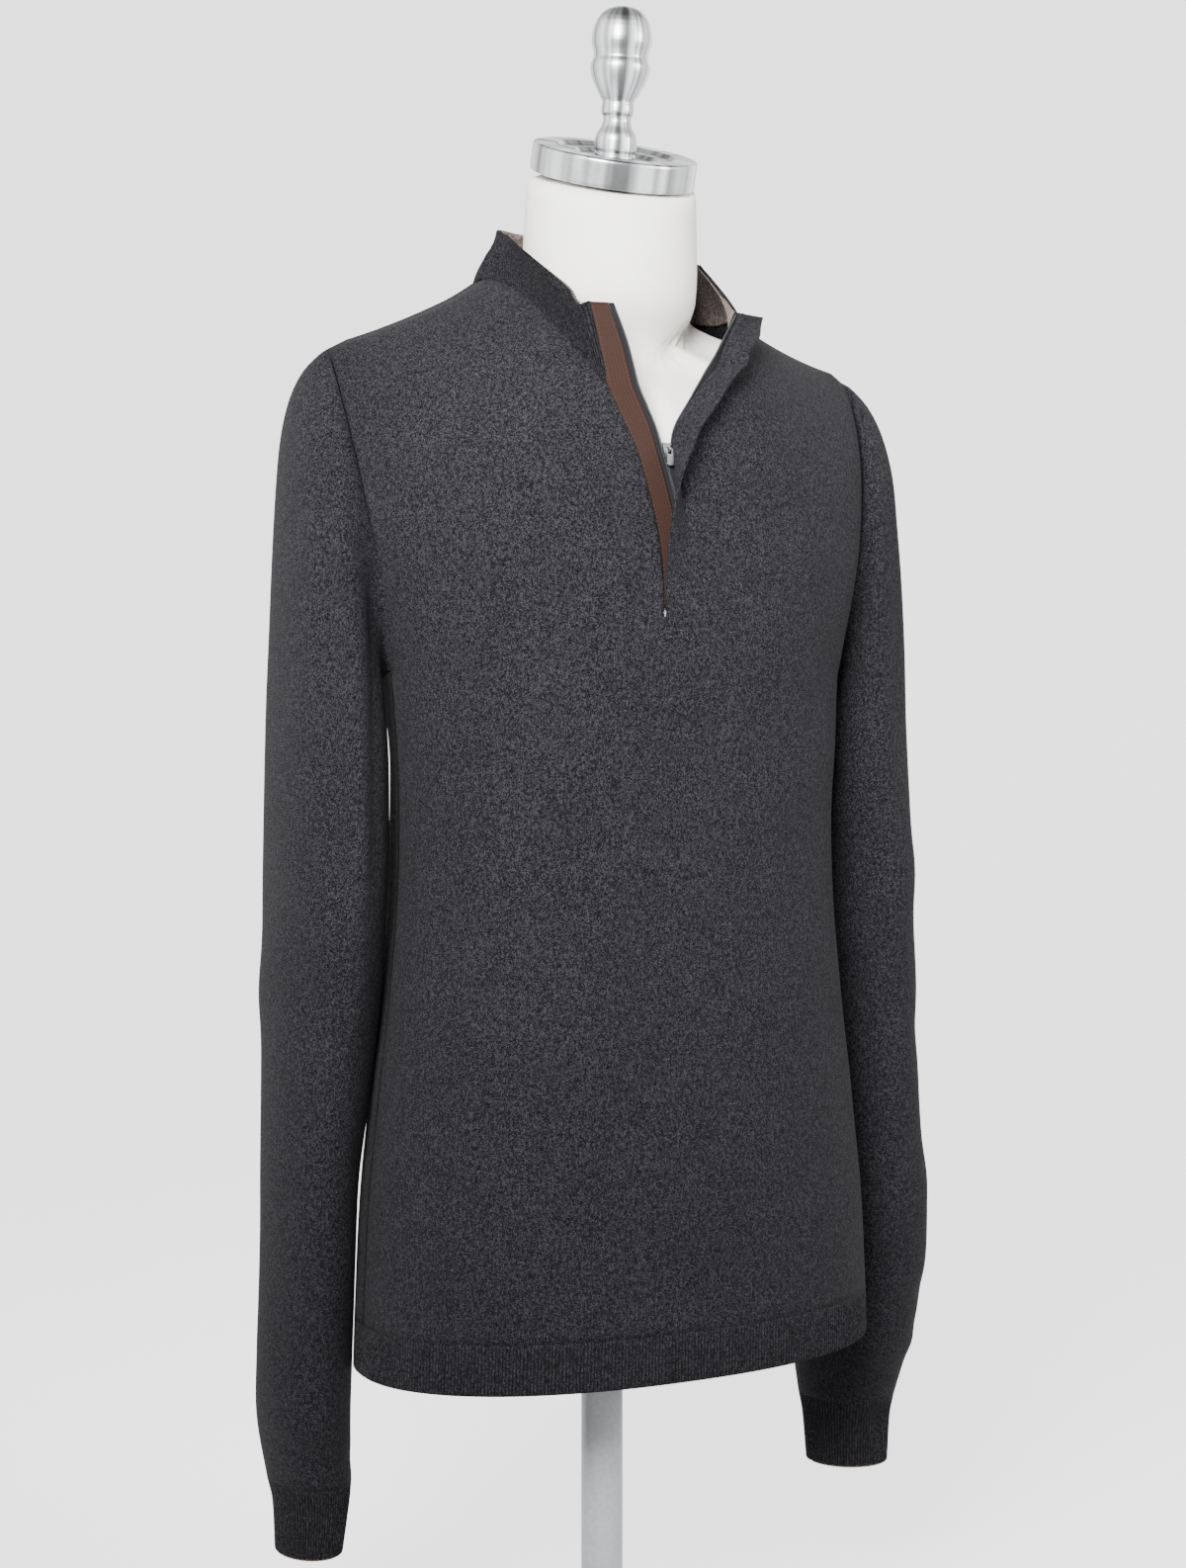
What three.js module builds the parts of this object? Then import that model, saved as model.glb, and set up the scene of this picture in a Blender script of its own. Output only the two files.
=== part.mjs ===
// A quarter zip sweater in fine wool, worn open at the neck on a limbless dress form with a short
// stand. Millimetres, +Z up, the front faces -Y, and the wearer's left arm is on the +X side. The
// origin is the centre of the stand's underside. Each knitted or sewn piece is a thin wall of its
// own, built from rings worked out from the sizes below, and stops short of its neighbours at seams.
import * as THREE from "three";
import { mergeVertices } from "three/addons/utils/BufferGeometryUtils.js";

// Heights above the surface that the stand is on
const HEM_Z = 234;
const HEM_RIB = 31;
const HEM_TILT = 7;
const HEM_TILT_FADE = 260;
const UNDERARM_Z = 680;
const SHOULDER_TIP_Z = 888;
const NECK_POINT_Z = 946;

// Widths and depths
const SHOULDER_TIP_X = 188;
const NECK_POINT_X = 84;
const SHOULDER_LINE_Y = 16;
const CHEST_CENTRE_Y = -20;
const SECTION_POWER = 2.25;

// Cloth, seams and trims
const KNIT = 1.6;
const LINING = 1.2;
const RIBBON = 1.0;
const RIBBON_TUCK = 3;
const FLY = 1.6;
const FLY_WIDTH = 19.4;
const ZIP = 1.6;
const ZIP_WIDTH = 3.6;
const UNDER_KNIT = 1.95;
const SEAM_PULL = 0.35;

// Mesh steps
const SIDE_COLUMNS = 6;
const NECK_COLUMNS = 6;
const BODY_ROWS = 8;
const YOKE_ROWS = 11;
const PLACKET_ROW = 3;
const COLLAR_ROWS = 5;
const CUFF_ROWS = 2;

const { PI, sin, cos, sqrt, abs, pow, min, max, hypot, floor } = Math;
const point = (x, y, z) => new THREE.Vector3(x, y, z);
const mix = (a, b, t) => a + (b - a) * t;
const clamp01 = (t) => min(1, max(0, t));
const smooth = (t) => clamp01(t) * clamp01(t) * (3 - 2 * clamp01(t));
const count = (n) => Array.from({ length: n }, (_, i) => i);
const radians = (degrees) => (degrees * PI) / 180;

// A named column of a table of sections, read between its rows with a smooth cubic
function column(rows, key, name, at) {
  const last = rows.length - 1;
  let i = 0;
  while (i < last - 1 && at > rows[i + 1][key]) i += 1;
  const slope = (k) => {
    const lo = rows[max(0, k - 1)];
    const hi = rows[min(last, k + 1)];
    return (hi[name] - lo[name]) / (hi[key] - lo[key]);
  };
  const step = rows[i + 1][key] - rows[i][key];
  const t = clamp01((at - rows[i][key]) / step);
  const rise = step * t * (1 - t) * ((1 - t) * slope(i) - t * slope(i + 1));
  return mix(rows[i][name], rows[i + 1][name], t * t * (3 - 2 * t)) + rise;
}

// The body's level sections, from the hem to the underarm
const BODY_SECTIONS = [
  { z: 234, half: 174.5, front: -142, back: 104 },
  { z: 265, half: 173.5, front: -143, back: 105 },
  { z: 340, half: 170, front: -140, back: 103 },
  { z: 400, half: 164, front: -136, back: 101 },
  { z: 465, half: 156.5, front: -132, back: 98 },
  { z: 540, half: 150.5, front: -128, back: 97 },
  { z: 610, half: 150, front: -127, back: 98 },
  { z: 680, half: 155, front: -129, back: 102 },
];
const body = (name, z) => column(BODY_SECTIONS, "z", name, z);

// Where the armhole is cut, by share of the height from the underarm to the shoulder line
const ARMHOLE_SECTIONS = [
  { share: 0, half: 155 },
  { share: 0.14, half: 161 },
  { share: 0.37, half: 172 },
  { share: 0.6, half: 180 },
  { share: 0.8, half: 185 },
  { share: 1, half: SHOULDER_TIP_X },
];
const ARMHOLE_CUT = { front: 0.13, back: 0.3 };
const ARMHOLE_FULL_SHARE = 0.5;

// The open front: where the right knit edge, the two lines of the zip and the left knit edge run
const OPENING_SECTIONS = [
  { z: 708, right: -10, zipRight: 8, zipLeft: 8.6, left: 10.3 },
  { z: 735, right: -10, zipRight: 8, zipLeft: 8.6, left: 10.3 },
  { z: 755, right: -11, zipRight: 7, zipLeft: 7.7, left: 9.7 },
  { z: 775, right: -13.6, zipRight: 4.4, zipLeft: 5, left: 7.5 },
  { z: 793, right: -17, zipRight: 1.2, zipLeft: 1.8, left: 5 },
  { z: 808, right: -20, zipRight: -1.8, zipLeft: -1.1, left: 3.6 },
  { z: 821, right: -22.8, zipRight: -4.4, zipLeft: 1.6, left: 3.6 },
  { z: 830, right: -26, zipRight: -6, zipLeft: 3.6, left: 5.4 },
  { z: 839, right: -29, zipRight: -8.2, zipLeft: 8.2, left: 10.2 },
  { z: 852, right: -33, zipRight: -12, zipLeft: 18, left: 20 },
  { z: 867, right: -37, zipRight: -16, zipLeft: 29.5, left: 31.5 },
  { z: 890, right: -41.5, zipRight: -21.2, zipLeft: 49, left: 51 },
  { z: 916, right: -45, zipRight: -29.5, zipLeft: 68.5, left: 70 },
];

// The collar's top edge, from the right front round the back to the left front
const COLLAR_TOP = [
  { turn: 0, x: -45, y: -88, z: 914.5 },
  { turn: 0.04, x: -51, y: -80, z: 914 },
  { turn: 0.08, x: -54, y: -71, z: 925 },
  { turn: 0.13, x: -60, y: -50, z: 940 },
  { turn: 0.19, x: -66, y: -24, z: 957 },
  { turn: 0.25, x: -70, y: 2, z: 973 },
  { turn: 0.33, x: -64, y: 30, z: 981 },
  { turn: 0.42, x: -38, y: 52, z: 984 },
  { turn: 0.5, x: 0, y: 59, z: 985 },
  { turn: 0.58, x: 38, y: 52, z: 983 },
  { turn: 0.67, x: 66, y: 28, z: 975 },
  { turn: 0.75, x: 72, y: 0, z: 962 },
  { turn: 0.81, x: 73, y: -26, z: 944 },
  { turn: 0.87, x: 72, y: -46, z: 929 },
  { turn: 0.93, x: 70, y: -60, z: 919 },
  { turn: 1, x: 70, y: -70, z: 916 },
];

// How far the fly on the left edge is turned out: 0 lies shut in the placket, 180 is folded back
const FLY_TURNS = [
  { z: 706, turn: 0, along: 0 },
  { z: 735, turn: 3, along: 0 },
  { z: 755, turn: 18, along: 0 },
  { z: 793, turn: 66, along: 0 },
  { z: 821, turn: 118, along: 0 },
  { z: 842, turn: 136, along: 2 },
  { z: 866, turn: 136, along: 8 },
  { z: 890, turn: 128, along: 15 },
  { z: 916, turn: 120, along: 23 },
];

// Sleeve sections from the shoulder down: the outer and inner points, the middle's y and half depth
const SLEEVE_HEAD = [
  { outerX: 199, outerZ: 883, innerX: 156.6, innerZ: 676, y: 12, deep: 55 },
  { outerX: 206.5, outerZ: 874, innerX: 157, innerZ: 672, y: 13, deep: 57 },
  { outerX: 212, outerZ: 860, innerX: 156.5, innerZ: 666, y: 14, deep: 59 },
  { outerX: 216, outerZ: 838, innerX: 156, innerZ: 657, y: 14, deep: 61 },
  { outerX: 218.5, outerZ: 806, innerX: 154, innerZ: 645, y: 14, deep: 63 },
  { outerX: 221, outerZ: 764, innerX: 152.6, innerZ: 631, y: 13, deep: 65 },
  { outerX: 223, outerZ: 712, innerX: 151.6, innerZ: 612, y: 13, deep: 67 },
  { outerX: 224.5, outerZ: 655, innerX: 151, innerZ: 590, y: 15, deep: 70 },
];
const SLEEVE_ARMS = {
  right: [
    { z: 555, x: 188, y: 18, thick: 37.5, deep: 72 },
    { z: 525, x: 188.6, y: 19, thick: 37, deep: 70 },
    { z: 473, x: 189.6, y: 22, thick: 36.8, deep: 64 },
    { z: 421, x: 191.7, y: 25, thick: 34.4, deep: 58 },
    { z: 343, x: 196.1, y: 29, thick: 30, deep: 52 },
    { z: 300, x: 196.3, y: 31, thick: 29.6, deep: 50 },
    { z: 214, x: 198.2, y: 34, thick: 29.9, deep: 46 },
    { z: 188, x: 197.9, y: 35, thick: 29.4, deep: 45 },
    { z: 164, x: 196, y: 35, thick: 28.6, deep: 42 },
    { z: 150, x: 194, y: 35, thick: 26.8, deep: 37 },
  ],
  left: [
    { z: 555, x: 195, y: 18, thick: 36, deep: 69 },
    { z: 518, x: 197, y: 19, thick: 36, deep: 67 },
    { z: 461, x: 202.5, y: 22, thick: 36, deep: 64 },
    { z: 405, x: 206, y: 25, thick: 36.5, deep: 61 },
    { z: 349, x: 209.5, y: 27, thick: 39, deep: 59 },
    { z: 293, x: 212.5, y: 29, thick: 42, deep: 58 },
    { z: 262, x: 211.5, y: 31, thick: 42, deep: 57 },
    { z: 236, x: 208.5, y: 33, thick: 41.5, deep: 54 },
    { z: 208, x: 204.5, y: 34, thick: 39.5, deep: 49 },
    { z: 188, x: 202.6, y: 35, thick: 36.5, deep: 43 },
    { z: 173, x: 202.4, y: 35, thick: 33, deep: 38 },
  ],
};
const CUFFS = {
  right: [
    { z: 150, x: 194, y: 35, thick: 26.8, deep: 37 },
    { z: 136, x: 192.9, y: 35, thick: 24.7, deep: 33.5 },
    { z: 104, x: 194.3, y: 35, thick: 21.6, deep: 31 },
  ],
  left: [
    { z: 173, x: 202.4, y: 35, thick: 33, deep: 38 },
    { z: 158, x: 202.5, y: 35, thick: 30.8, deep: 33 },
    { z: 126, x: 203, y: 35, thick: 28.7, deep: 30 },
  ],
};
const SLEEVE_ROW_STEP = 40;
const HEAD_SETTLE = 5;

// The slope of the shoulder, and its line carried on in a soft arch under the collar. Each shoulder
// sags from beside the neck to its tip, the left one more, as the open neck has slid to that side.
const ARCH = 40;
const softX = (x) => hypot(x, ARCH) - (hypot(NECK_POINT_X, ARCH) - NECK_POINT_X);
const SAG = { right: 6, left: 12.5, from: 62, deepest: 108, to: 174 };
function sag(x) {
  const out = clamp01((abs(x) - SAG.deepest) / (SAG.to - SAG.deepest));
  const depth = x < 0 ? SAG.right : SAG.left;
  return depth * smooth((abs(x) - SAG.from) / (SAG.deepest - SAG.from)) * (1 - out * out);
}
const shoulderZ = (x) =>
  mix(NECK_POINT_Z, SHOULDER_TIP_Z, (softX(x) - NECK_POINT_X) / (SHOULDER_TIP_X - NECK_POINT_X)) - sag(x);

// Half the angle that a panel spans: a half circle at the underarm, less where the armhole is cut
function panelAngle(share, side) {
  const left = 1 - clamp01(share / ARMHOLE_FULL_SHARE);
  return (PI / 2) * (1 - ARMHOLE_CUT[side] * sqrt(1 - left * left));
}
const bulge = (t) => pow(max(0, 1 - pow(min(1, abs(t)), SECTION_POWER)), 1 / SECTION_POWER);

// A point of the body below the underarm. across runs from -1 at the right seam to 1 at the left.
function trunkPoint(across, z, side) {
  const depth = body(side, z) - CHEST_CENTRE_Y;
  const tilt = HEM_TILT * across * (1 - clamp01((z - HEM_Z) / HEM_TILT_FADE));
  return point(body("half", z) * across, CHEST_CENTRE_Y + depth * bulge(across), z + tilt);
}

// A point above the underarm, where share is 0, up to the shoulder line, where share is 1
function yokePoint(across, share, side, opened = null) {
  const half = column(ARMHOLE_SECTIONS, "share", "half", share);
  const reach = half / pow(sin(panelAngle(share, side)), 2 / SECTION_POWER);
  const flatX = half * across;
  const x = opened ? opened(flatX, mix(UNDERARM_Z, shoulderZ(flatX), share), half) : flatX;
  const centre = mix(CHEST_CENTRE_Y, SHOULDER_LINE_Y, share * share);
  const depth = (body(side, UNDERARM_Z) - CHEST_CENTRE_Y) * sqrt(max(0, 1 - share * share * share));
  return point(x, centre + depth * bulge(x / reach), mix(UNDERARM_Z, shoulderZ(x), share));
}

// Where the neckline stands on the yoke, as a share of the height to the shoulder line. The open
// neck has slid a little to the left, so it is wider on that side and its left front stands higher.
const NECK_ACROSS = { right: NECK_POINT_X / SHOULDER_TIP_X, left: 100 / SHOULDER_TIP_X };
const NECK_DROP = { front: { right: 0.375, left: 0.32 }, back: { right: 0.1, left: 0.1 } };
function yokeTop(across, side) {
  const hand = across < 0 ? "right" : "left";
  const t = min(1, abs(across) / NECK_ACROSS[hand]);
  return 1 - NECK_DROP[side][hand] * (1 - t * t);
}

// Columns from a side seam to the middle, closer together where the section turns
const PLACKET_ACROSS = 0.0625;
function halfColumns(hand, middle) {
  const neck = NECK_ACROSS[hand];
  const outer = count(SIDE_COLUMNS).map((i) => 1 - (1 - neck) * pow(i / SIDE_COLUMNS, 1.5));
  return [...outer, ...count(NECK_COLUMNS + 1).map((i) => mix(neck, middle, i / NECK_COLUMNS))];
}
const COLUMNS = {
  front: [
    ...halfColumns("right", PLACKET_ACROSS).map((u) => -u),
    ...halfColumns("left", PLACKET_ACROSS).reverse(),
  ],
  back: [
    ...halfColumns("right", 0).map((u) => -u),
    ...halfColumns("left", 0).reverse().slice(1),
  ],
};
const RIGHT_EDGE = SIDE_COLUMNS + NECK_COLUMNS;
const LEFT_EDGE = RIGHT_EDGE + 1;
const rowShares = count(YOKE_ROWS + 1).map((i) => (1 - cos((PI * i) / YOKE_ROWS)) / 2);
const bodyHeights = count(BODY_ROWS + 1).map((i) => mix(HEM_Z + HEM_RIB, UNDERARM_Z, i / BODY_ROWS));

// Moves a column of the front sideways by the opening, which fades out towards the neck point
const openFront = (columnIndex, row) => (x, z, half) => {
  if (row < PLACKET_ROW) return x;
  const across = COLUMNS.front[columnIndex];
  const [hand, way] = columnIndex <= RIGHT_EDGE ? ["right", -1] : ["left", 1];
  const moved = column(OPENING_SECTIONS, "z", hand, z) - way * PLACKET_ACROSS * half;
  const fade = 1 - clamp01((abs(across) - PLACKET_ACROSS) / (NECK_ACROSS[hand] - PLACKET_ACROSS));
  return x + moved * fade * fade;
};

// A sheet is a list of points with faces of three or four corners, seen from outside
function gridSheet(rows, { closed = false, skip = () => false } = {}) {
  const width = rows[0].length;
  const faces = [];
  for (let r = 0; r + 1 < rows.length; r += 1)
    for (let c = 0; c + (closed ? 0 : 1) < width; c += 1) {
      const next = (c + 1) % width;
      if (!skip(r, c)) faces.push([r * width + c, r * width + next, (r + 1) * width + next, (r + 1) * width + c]);
    }
  return { points: rows.flat(), faces, rows };
}

// The same face seen from behind, still split along the same diagonal
const turned = (face) => [face[0], ...face.slice(1).reverse()];
const flip = (sheet) => ({ ...sheet, faces: sheet.faces.map(turned) });
const placeKey = (p) => `${p.x.toFixed(2)},${p.y.toFixed(2)},${p.z.toFixed(2)}`;

// The normal at each place of a sheet
function ownNormals({ points, faces }) {
  const normals = new Map();
  for (const face of faces) {
    const [a, b, c, d = c] = face.map((i) => points[i]);
    const normal = c.clone().sub(a).cross(d.clone().sub(b));
    for (const i of face) {
      const key = placeKey(points[i]);
      normals.set(key, (normals.get(key) ?? point(0, 0, 0)).add(normal));
    }
  }
  for (const normal of normals.values()) normal.normalize();
  return normals;
}

// The normal at each place, the mean of those of the sheets that meet there
function sharedNormals(sheets) {
  const normals = new Map();
  for (const own of sheets.map(ownNormals))
    for (const [key, normal] of own) normals.set(key, (normals.get(key) ?? point(0, 0, 0)).add(normal));
  for (const normal of normals.values()) normal.normalize();
  return normals;
}

// Edges that only one face has, each in its face's own direction
function openEdges(faces) {
  const seen = new Map();
  for (const face of faces)
    face.forEach((a, k) => seen.set(`${a}_${face[(k + 1) % face.length]}`, [a, face[(k + 1) % face.length]]));
  return [...seen.values()].filter(([a, b]) => !seen.has(`${b}_${a}`));
}

function geometryOf(points, faces) {
  const triangles = faces.flatMap((f) => (f.length === 4 ? [f[0], f[1], f[2], f[0], f[2], f[3]] : f));
  const geometry = new THREE.BufferGeometry();
  geometry.setAttribute("position", new THREE.Float32BufferAttribute(points.flatMap((p) => [p.x, p.y, p.z]), 3));
  geometry.setIndex(triangles);
  return geometry;
}

// A closed wall from a sheet: its outer face lies depth under the sheet, and it is thick deep. Its
// edges draw back a little, so that pieces that meet at a seam stay apart.
function wall(sheet, normals, thick, depth = 0) {
  const edges = openEdges(sheet.faces);
  const used = new Set(sheet.faces.flat());
  const onEdge = new Set(edges.flat());
  const pull = new Map([...onEdge].map((i) => [i, point(0, 0, 0)]));
  for (const face of sheet.faces) {
    const middle = face.reduce((sum, i) => sum.add(sheet.points[i]), point(0, 0, 0)).divideScalar(face.length);
    for (const i of face) if (pull.has(i)) pull.get(i).add(middle.clone().sub(sheet.points[i]).normalize());
  }
  const place = new Map();
  const outer = [];
  const inner = [];
  [...used].forEach((i, at) => {
    place.set(i, at);
    const normal = normals.get(placeKey(sheet.points[i]));
    const start = sheet.points[i].clone();
    if (pull.has(i)) {
      start.addScaledVector(pull.get(i).projectOnPlane(normal).normalize(), SEAM_PULL);
    }
    outer.push(start.clone().addScaledVector(normal, -depth));
    inner.push(start.clone().addScaledVector(normal, -depth - thick));
  });
  const shift = outer.length;
  const faces = [];
  for (const face of sheet.faces) {
    const f = face.map((i) => place.get(i));
    faces.push(f, turned(f.map((i) => i + shift)));
  }
  for (const [a, b] of edges) {
    const [p, q] = [place.get(a), place.get(b)];
    faces.push([q, p, p + shift, q + shift]);
  }
  return geometryOf([...outer, ...inner], faces);
}

// A closed solid through rings of equal length, with a flat fan at each end
function loft(rings) {
  const width = rings[0].length;
  const points = rings.flat();
  const faces = [];
  for (let r = 0; r + 1 < rings.length; r += 1)
    for (const c of count(width)) {
      const next = (c + 1) % width;
      faces.push([r * width + c, r * width + next, (r + 1) * width + next, (r + 1) * width + c]);
    }
  const last = (rings.length - 1) * width;
  for (const c of count(width - 2)) {
    faces.push([0, c + 2, c + 1]);
    faces.push([last, last + c + 1, last + c + 2]);
  }
  return geometryOf(points, faces);
}

const part = new THREE.Group();
const paint = (color, roughness, metalness = 0) => new THREE.MeshStandardMaterial({ color, roughness, metalness });
const charcoal = paint(0x3c3d42, 0.95);
const brownRib = paint(0x6f5b52, 0.95);
const brownRibbon = paint(0x6d5146, 0.8);
const zipTape = paint(0x33353a, 0.85);
const bareMetal = paint(0xc9cbd0, 0.3, 1);
const linen = paint(0xe9e3d9, 0.9);

function add(name, geometry, material) {
  const mesh = new THREE.Mesh(geometry, material);
  mesh.name = name;
  part.add(mesh);
  return mesh;
}

// Front and back panels
function panelSheet(side) {
  const columns = COLUMNS[side];
  const trunk = bodyHeights.slice(0, -1).map((z) => columns.map((u) => trunkPoint(u, z, side)));
  const yoke = rowShares.map((r, row) =>
    columns.map((u, c) => yokePoint(u, r * yokeTop(u, side), side, side === "front" ? openFront(c, row) : null)),
  );
  const inPlacket = (row, c) => side === "front" && c === RIGHT_EDGE && row >= BODY_ROWS + PLACKET_ROW;
  const sheet = gridSheet([...trunk, ...yoke], { skip: inPlacket });
  return side === "front" ? sheet : flip(sheet);
}
const frontSheet = panelSheet("front");
const backSheet = panelSheet("back");

// The rib at the hem, which goes all the way round
const hemRows = count(3).map((i) => {
  const z = mix(HEM_Z, HEM_Z + HEM_RIB, i / 2);
  const front = COLUMNS.front.map((u) => trunkPoint(u, z, "front"));
  const back = COLUMNS.back.map((u) => trunkPoint(u, z, "back")).reverse();
  return [...front, ...back.slice(1, -1)];
});
const hemSheet = gridSheet(hemRows, { closed: true });

// Sleeves. The first ring is the armhole itself, read off the two panels' edges.
function armhole(hand) {
  const edge = hand === "right" ? -1 : 1;
  const at = (side) => rowShares.map((r) => yokePoint(edge, r, side));
  return [...at("front").reverse(), ...at("back").slice(1, -1)];
}

// An oval ring between an outer and an inner point, started at the outer one and turned to the front
function sleeveRing(hand, outer, inner, y, deep) {
  const way = hand === "right" ? -1 : 1;
  const middle = [(outer[0] + inner[0]) / 2, (outer[1] + inner[1]) / 2];
  return count(2 * YOKE_ROWS).map((i) => {
    const turn = (PI * i) / YOKE_ROWS;
    const out = cos(turn);
    return point(
      way * (middle[0] + (outer[0] - middle[0]) * out),
      y - deep * sin(turn),
      middle[1] + (outer[1] - middle[1]) * out,
    );
  });
}

function armRing(hand, rows, z) {
  const at = (name) => column(rows, "down", name, -z);
  return sleeveRing(hand, [at("x") + at("thick"), z], [at("x") - at("thick"), z], at("y"), at("deep"));
}
const byDepth = (rows) => rows.map((row) => ({ ...row, down: -row.z }));

function sleeveSheet(hand) {
  const first = armhole(hand);
  const head = SLEEVE_HEAD.map((s) => sleeveRing(hand, [s.outerX, s.outerZ], [s.innerX, s.innerZ], s.y, s.deep));
  const start = head[0].map((p, i) => first[i].clone().sub(p));
  const settled = head.map((ring, r) => {
    const left = max(0, 1 - (r + 1) / HEAD_SETTLE);
    return ring.map((p, i) => p.clone().addScaledVector(start[i], left * left));
  });
  const arm = byDepth(SLEEVE_ARMS[hand]);
  const [top, bottom] = [arm[0].z, arm[arm.length - 1].z];
  const steps = floor((top - bottom) / SLEEVE_ROW_STEP);
  const rings = count(steps + 1).map((i) => armRing(hand, arm, mix(top, bottom, i / steps)));
  const sheet = gridSheet([first, ...settled, ...rings], { closed: true });
  return hand === "right" ? flip(sheet) : sheet;
}

function cuffSheet(hand) {
  const rows = byDepth(CUFFS[hand]);
  const [top, bottom] = [rows[0].z, rows[rows.length - 1].z];
  const rings = count(CUFF_ROWS + 2).map((i) => armRing(hand, rows, mix(top, bottom, i / (CUFF_ROWS + 1))));
  const sheet = gridSheet(rings, { closed: true });
  return hand === "right" ? flip(sheet) : sheet;
}
const sleeveSheets = { right: sleeveSheet("right"), left: sleeveSheet("left") };
const cuffSheets = { right: cuffSheet("right"), left: cuffSheet("left") };

// How the collar leaves the neckline: how much it rises at once, and how long it keeps that way
const COLLAR_RISE = point(0, 0, 0.9);
const COLLAR_BEND = 0.3;

// The stand collar, from the right front edge round the back of the neck to the left front edge
function collarSheet() {
  const frontTop = frontSheet.rows[frontSheet.rows.length - 1];
  const backTop = backSheet.rows[backSheet.rows.length - 1];
  const ends = [SIDE_COLUMNS, frontTop.length - 1 - SIDE_COLUMNS];
  const base = [
    ...frontTop.slice(ends[0], RIGHT_EDGE + 1).reverse(),
    ...backTop.slice(SIDE_COLUMNS + 1, backTop.length - 1 - SIDE_COLUMNS),
    ...frontTop.slice(LEFT_EDGE, ends[1] + 1).reverse(),
  ];
  const belowFront = frontSheet.rows[frontSheet.rows.length - 2];
  const belowBack = backSheet.rows[backSheet.rows.length - 2];
  const atNeckPoint = (i, k) => belowFront[i].clone().lerp(belowBack[k], 0.5);
  const lastBack = backTop.length - 1 - SIDE_COLUMNS;
  const below = [
    ...belowFront.slice(ends[0] + 1, RIGHT_EDGE + 1).reverse(),
    atNeckPoint(ends[0], SIDE_COLUMNS),
    ...belowBack.slice(SIDE_COLUMNS + 1, lastBack),
    atNeckPoint(ends[1], lastBack),
    ...belowFront.slice(LEFT_EDGE, ends[1]).reverse(),
  ];
  const rows = count(COLLAR_ROWS + 1).map((k) => {
    const h = k / COLLAR_ROWS;
    return base.map((p, i) => {
      const turn = i / (base.length - 1);
      const top = point(
        column(COLLAR_TOP, "turn", "x", turn),
        column(COLLAR_TOP, "turn", "y", turn),
        column(COLLAR_TOP, "turn", "z", turn),
      );
      const height = p.distanceTo(top);
      const leave = p.clone().sub(below[i]).normalize().add(COLLAR_RISE).normalize();
      const bend = p.clone().addScaledVector(leave, height * COLLAR_BEND);
      return p
        .clone()
        .multiplyScalar((1 - h) * (1 - h))
        .addScaledVector(bend, 2 * h * (1 - h))
        .addScaledVector(top, h * h);
    });
  });
  return flip(gridSheet(rows));
}
const collar = collarSheet();

const knitSheets = [frontSheet, backSheet, hemSheet, sleeveSheets.right, sleeveSheets.left, cuffSheets.right, cuffSheets.left, collar];
const knitNormals = sharedNormals(knitSheets);
add("front_panel", wall(frontSheet, knitNormals, KNIT), charcoal);
add("back_panel", wall(backSheet, knitNormals, KNIT), charcoal);
add("hem_rib", wall(hemSheet, knitNormals, KNIT), charcoal);
for (const hand of ["right", "left"]) {
  add(`sleeve_${hand}`, wall(sleeveSheets[hand], knitNormals, KNIT), charcoal);
  add(`cuff_${hand}`, wall(cuffSheets[hand], knitNormals, KNIT), charcoal);
}
add("collar", wall(collar, knitNormals, KNIT), charcoal);

// The collar's rib lining, set back from both front edges
const LINING_SET_BACK = 4.5;
const liningRows = collar.rows.map((row) => {
  const inset = (from, to) => from.clone().lerp(to, LINING_SET_BACK / from.distanceTo(to));
  return [inset(row[0], row[1]), ...row.slice(1, -1), inset(row[row.length - 1], row[row.length - 2])];
});
const lining = flip(gridSheet(liningRows));
add("collar_lining", wall(lining, ownNormals(lining), LINING, UNDER_KNIT), brownRib);

// The front edges: each point with its normal, its direction along the edge and across the opening
function edgeOf(hand) {
  const at = hand === "right" ? RIGHT_EDGE : LEFT_EDGE;
  const next = hand === "right" ? at - 1 : at + 1;
  const onFront = frontSheet.rows.slice(BODY_ROWS + PLACKET_ROW).map((row) => [row[at], row[next]]);
  const ends = (row) => (hand === "right" ? [row[0], row[1]] : row.slice(-2).reverse());
  const pairs = [...onFront, ...collar.rows.slice(1).map(ends)];
  const points = pairs.map(([p]) => p);
  const normals = points.map((p) => knitNormals.get(placeKey(p)));
  return points.map((p, i) => {
    const [before, after] = [max(0, i - 1), min(points.length - 1, i + 1)];
    const normal = normals[before].clone().add(normals[i]).add(normals[after]).normalize();
    const along = points[after].clone().sub(points[before]).projectOnPlane(normal).normalize();
    const into = along.clone().cross(normal).multiplyScalar(hand === "right" ? 1 : -1);
    const beside = pairs[i][1].clone().sub(p).normalize();
    return { p, normal, along, into, beside };
  });
}
const edges = { right: edgeOf("right"), left: edgeOf("left") };

// A closed slab between two grids of the same size, the first one on the outer side
function slab(top, under) {
  const sheet = gridSheet(top);
  const shift = sheet.points.length;
  const faces = sheet.faces.flatMap((f) => [f, turned(f.map((i) => i + shift))]);
  for (const [a, b] of openEdges(sheet.faces)) faces.push([b, a, a + shift, b + shift]);
  return geometryOf([...sheet.points, ...under.flat()], faces);
}

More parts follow.
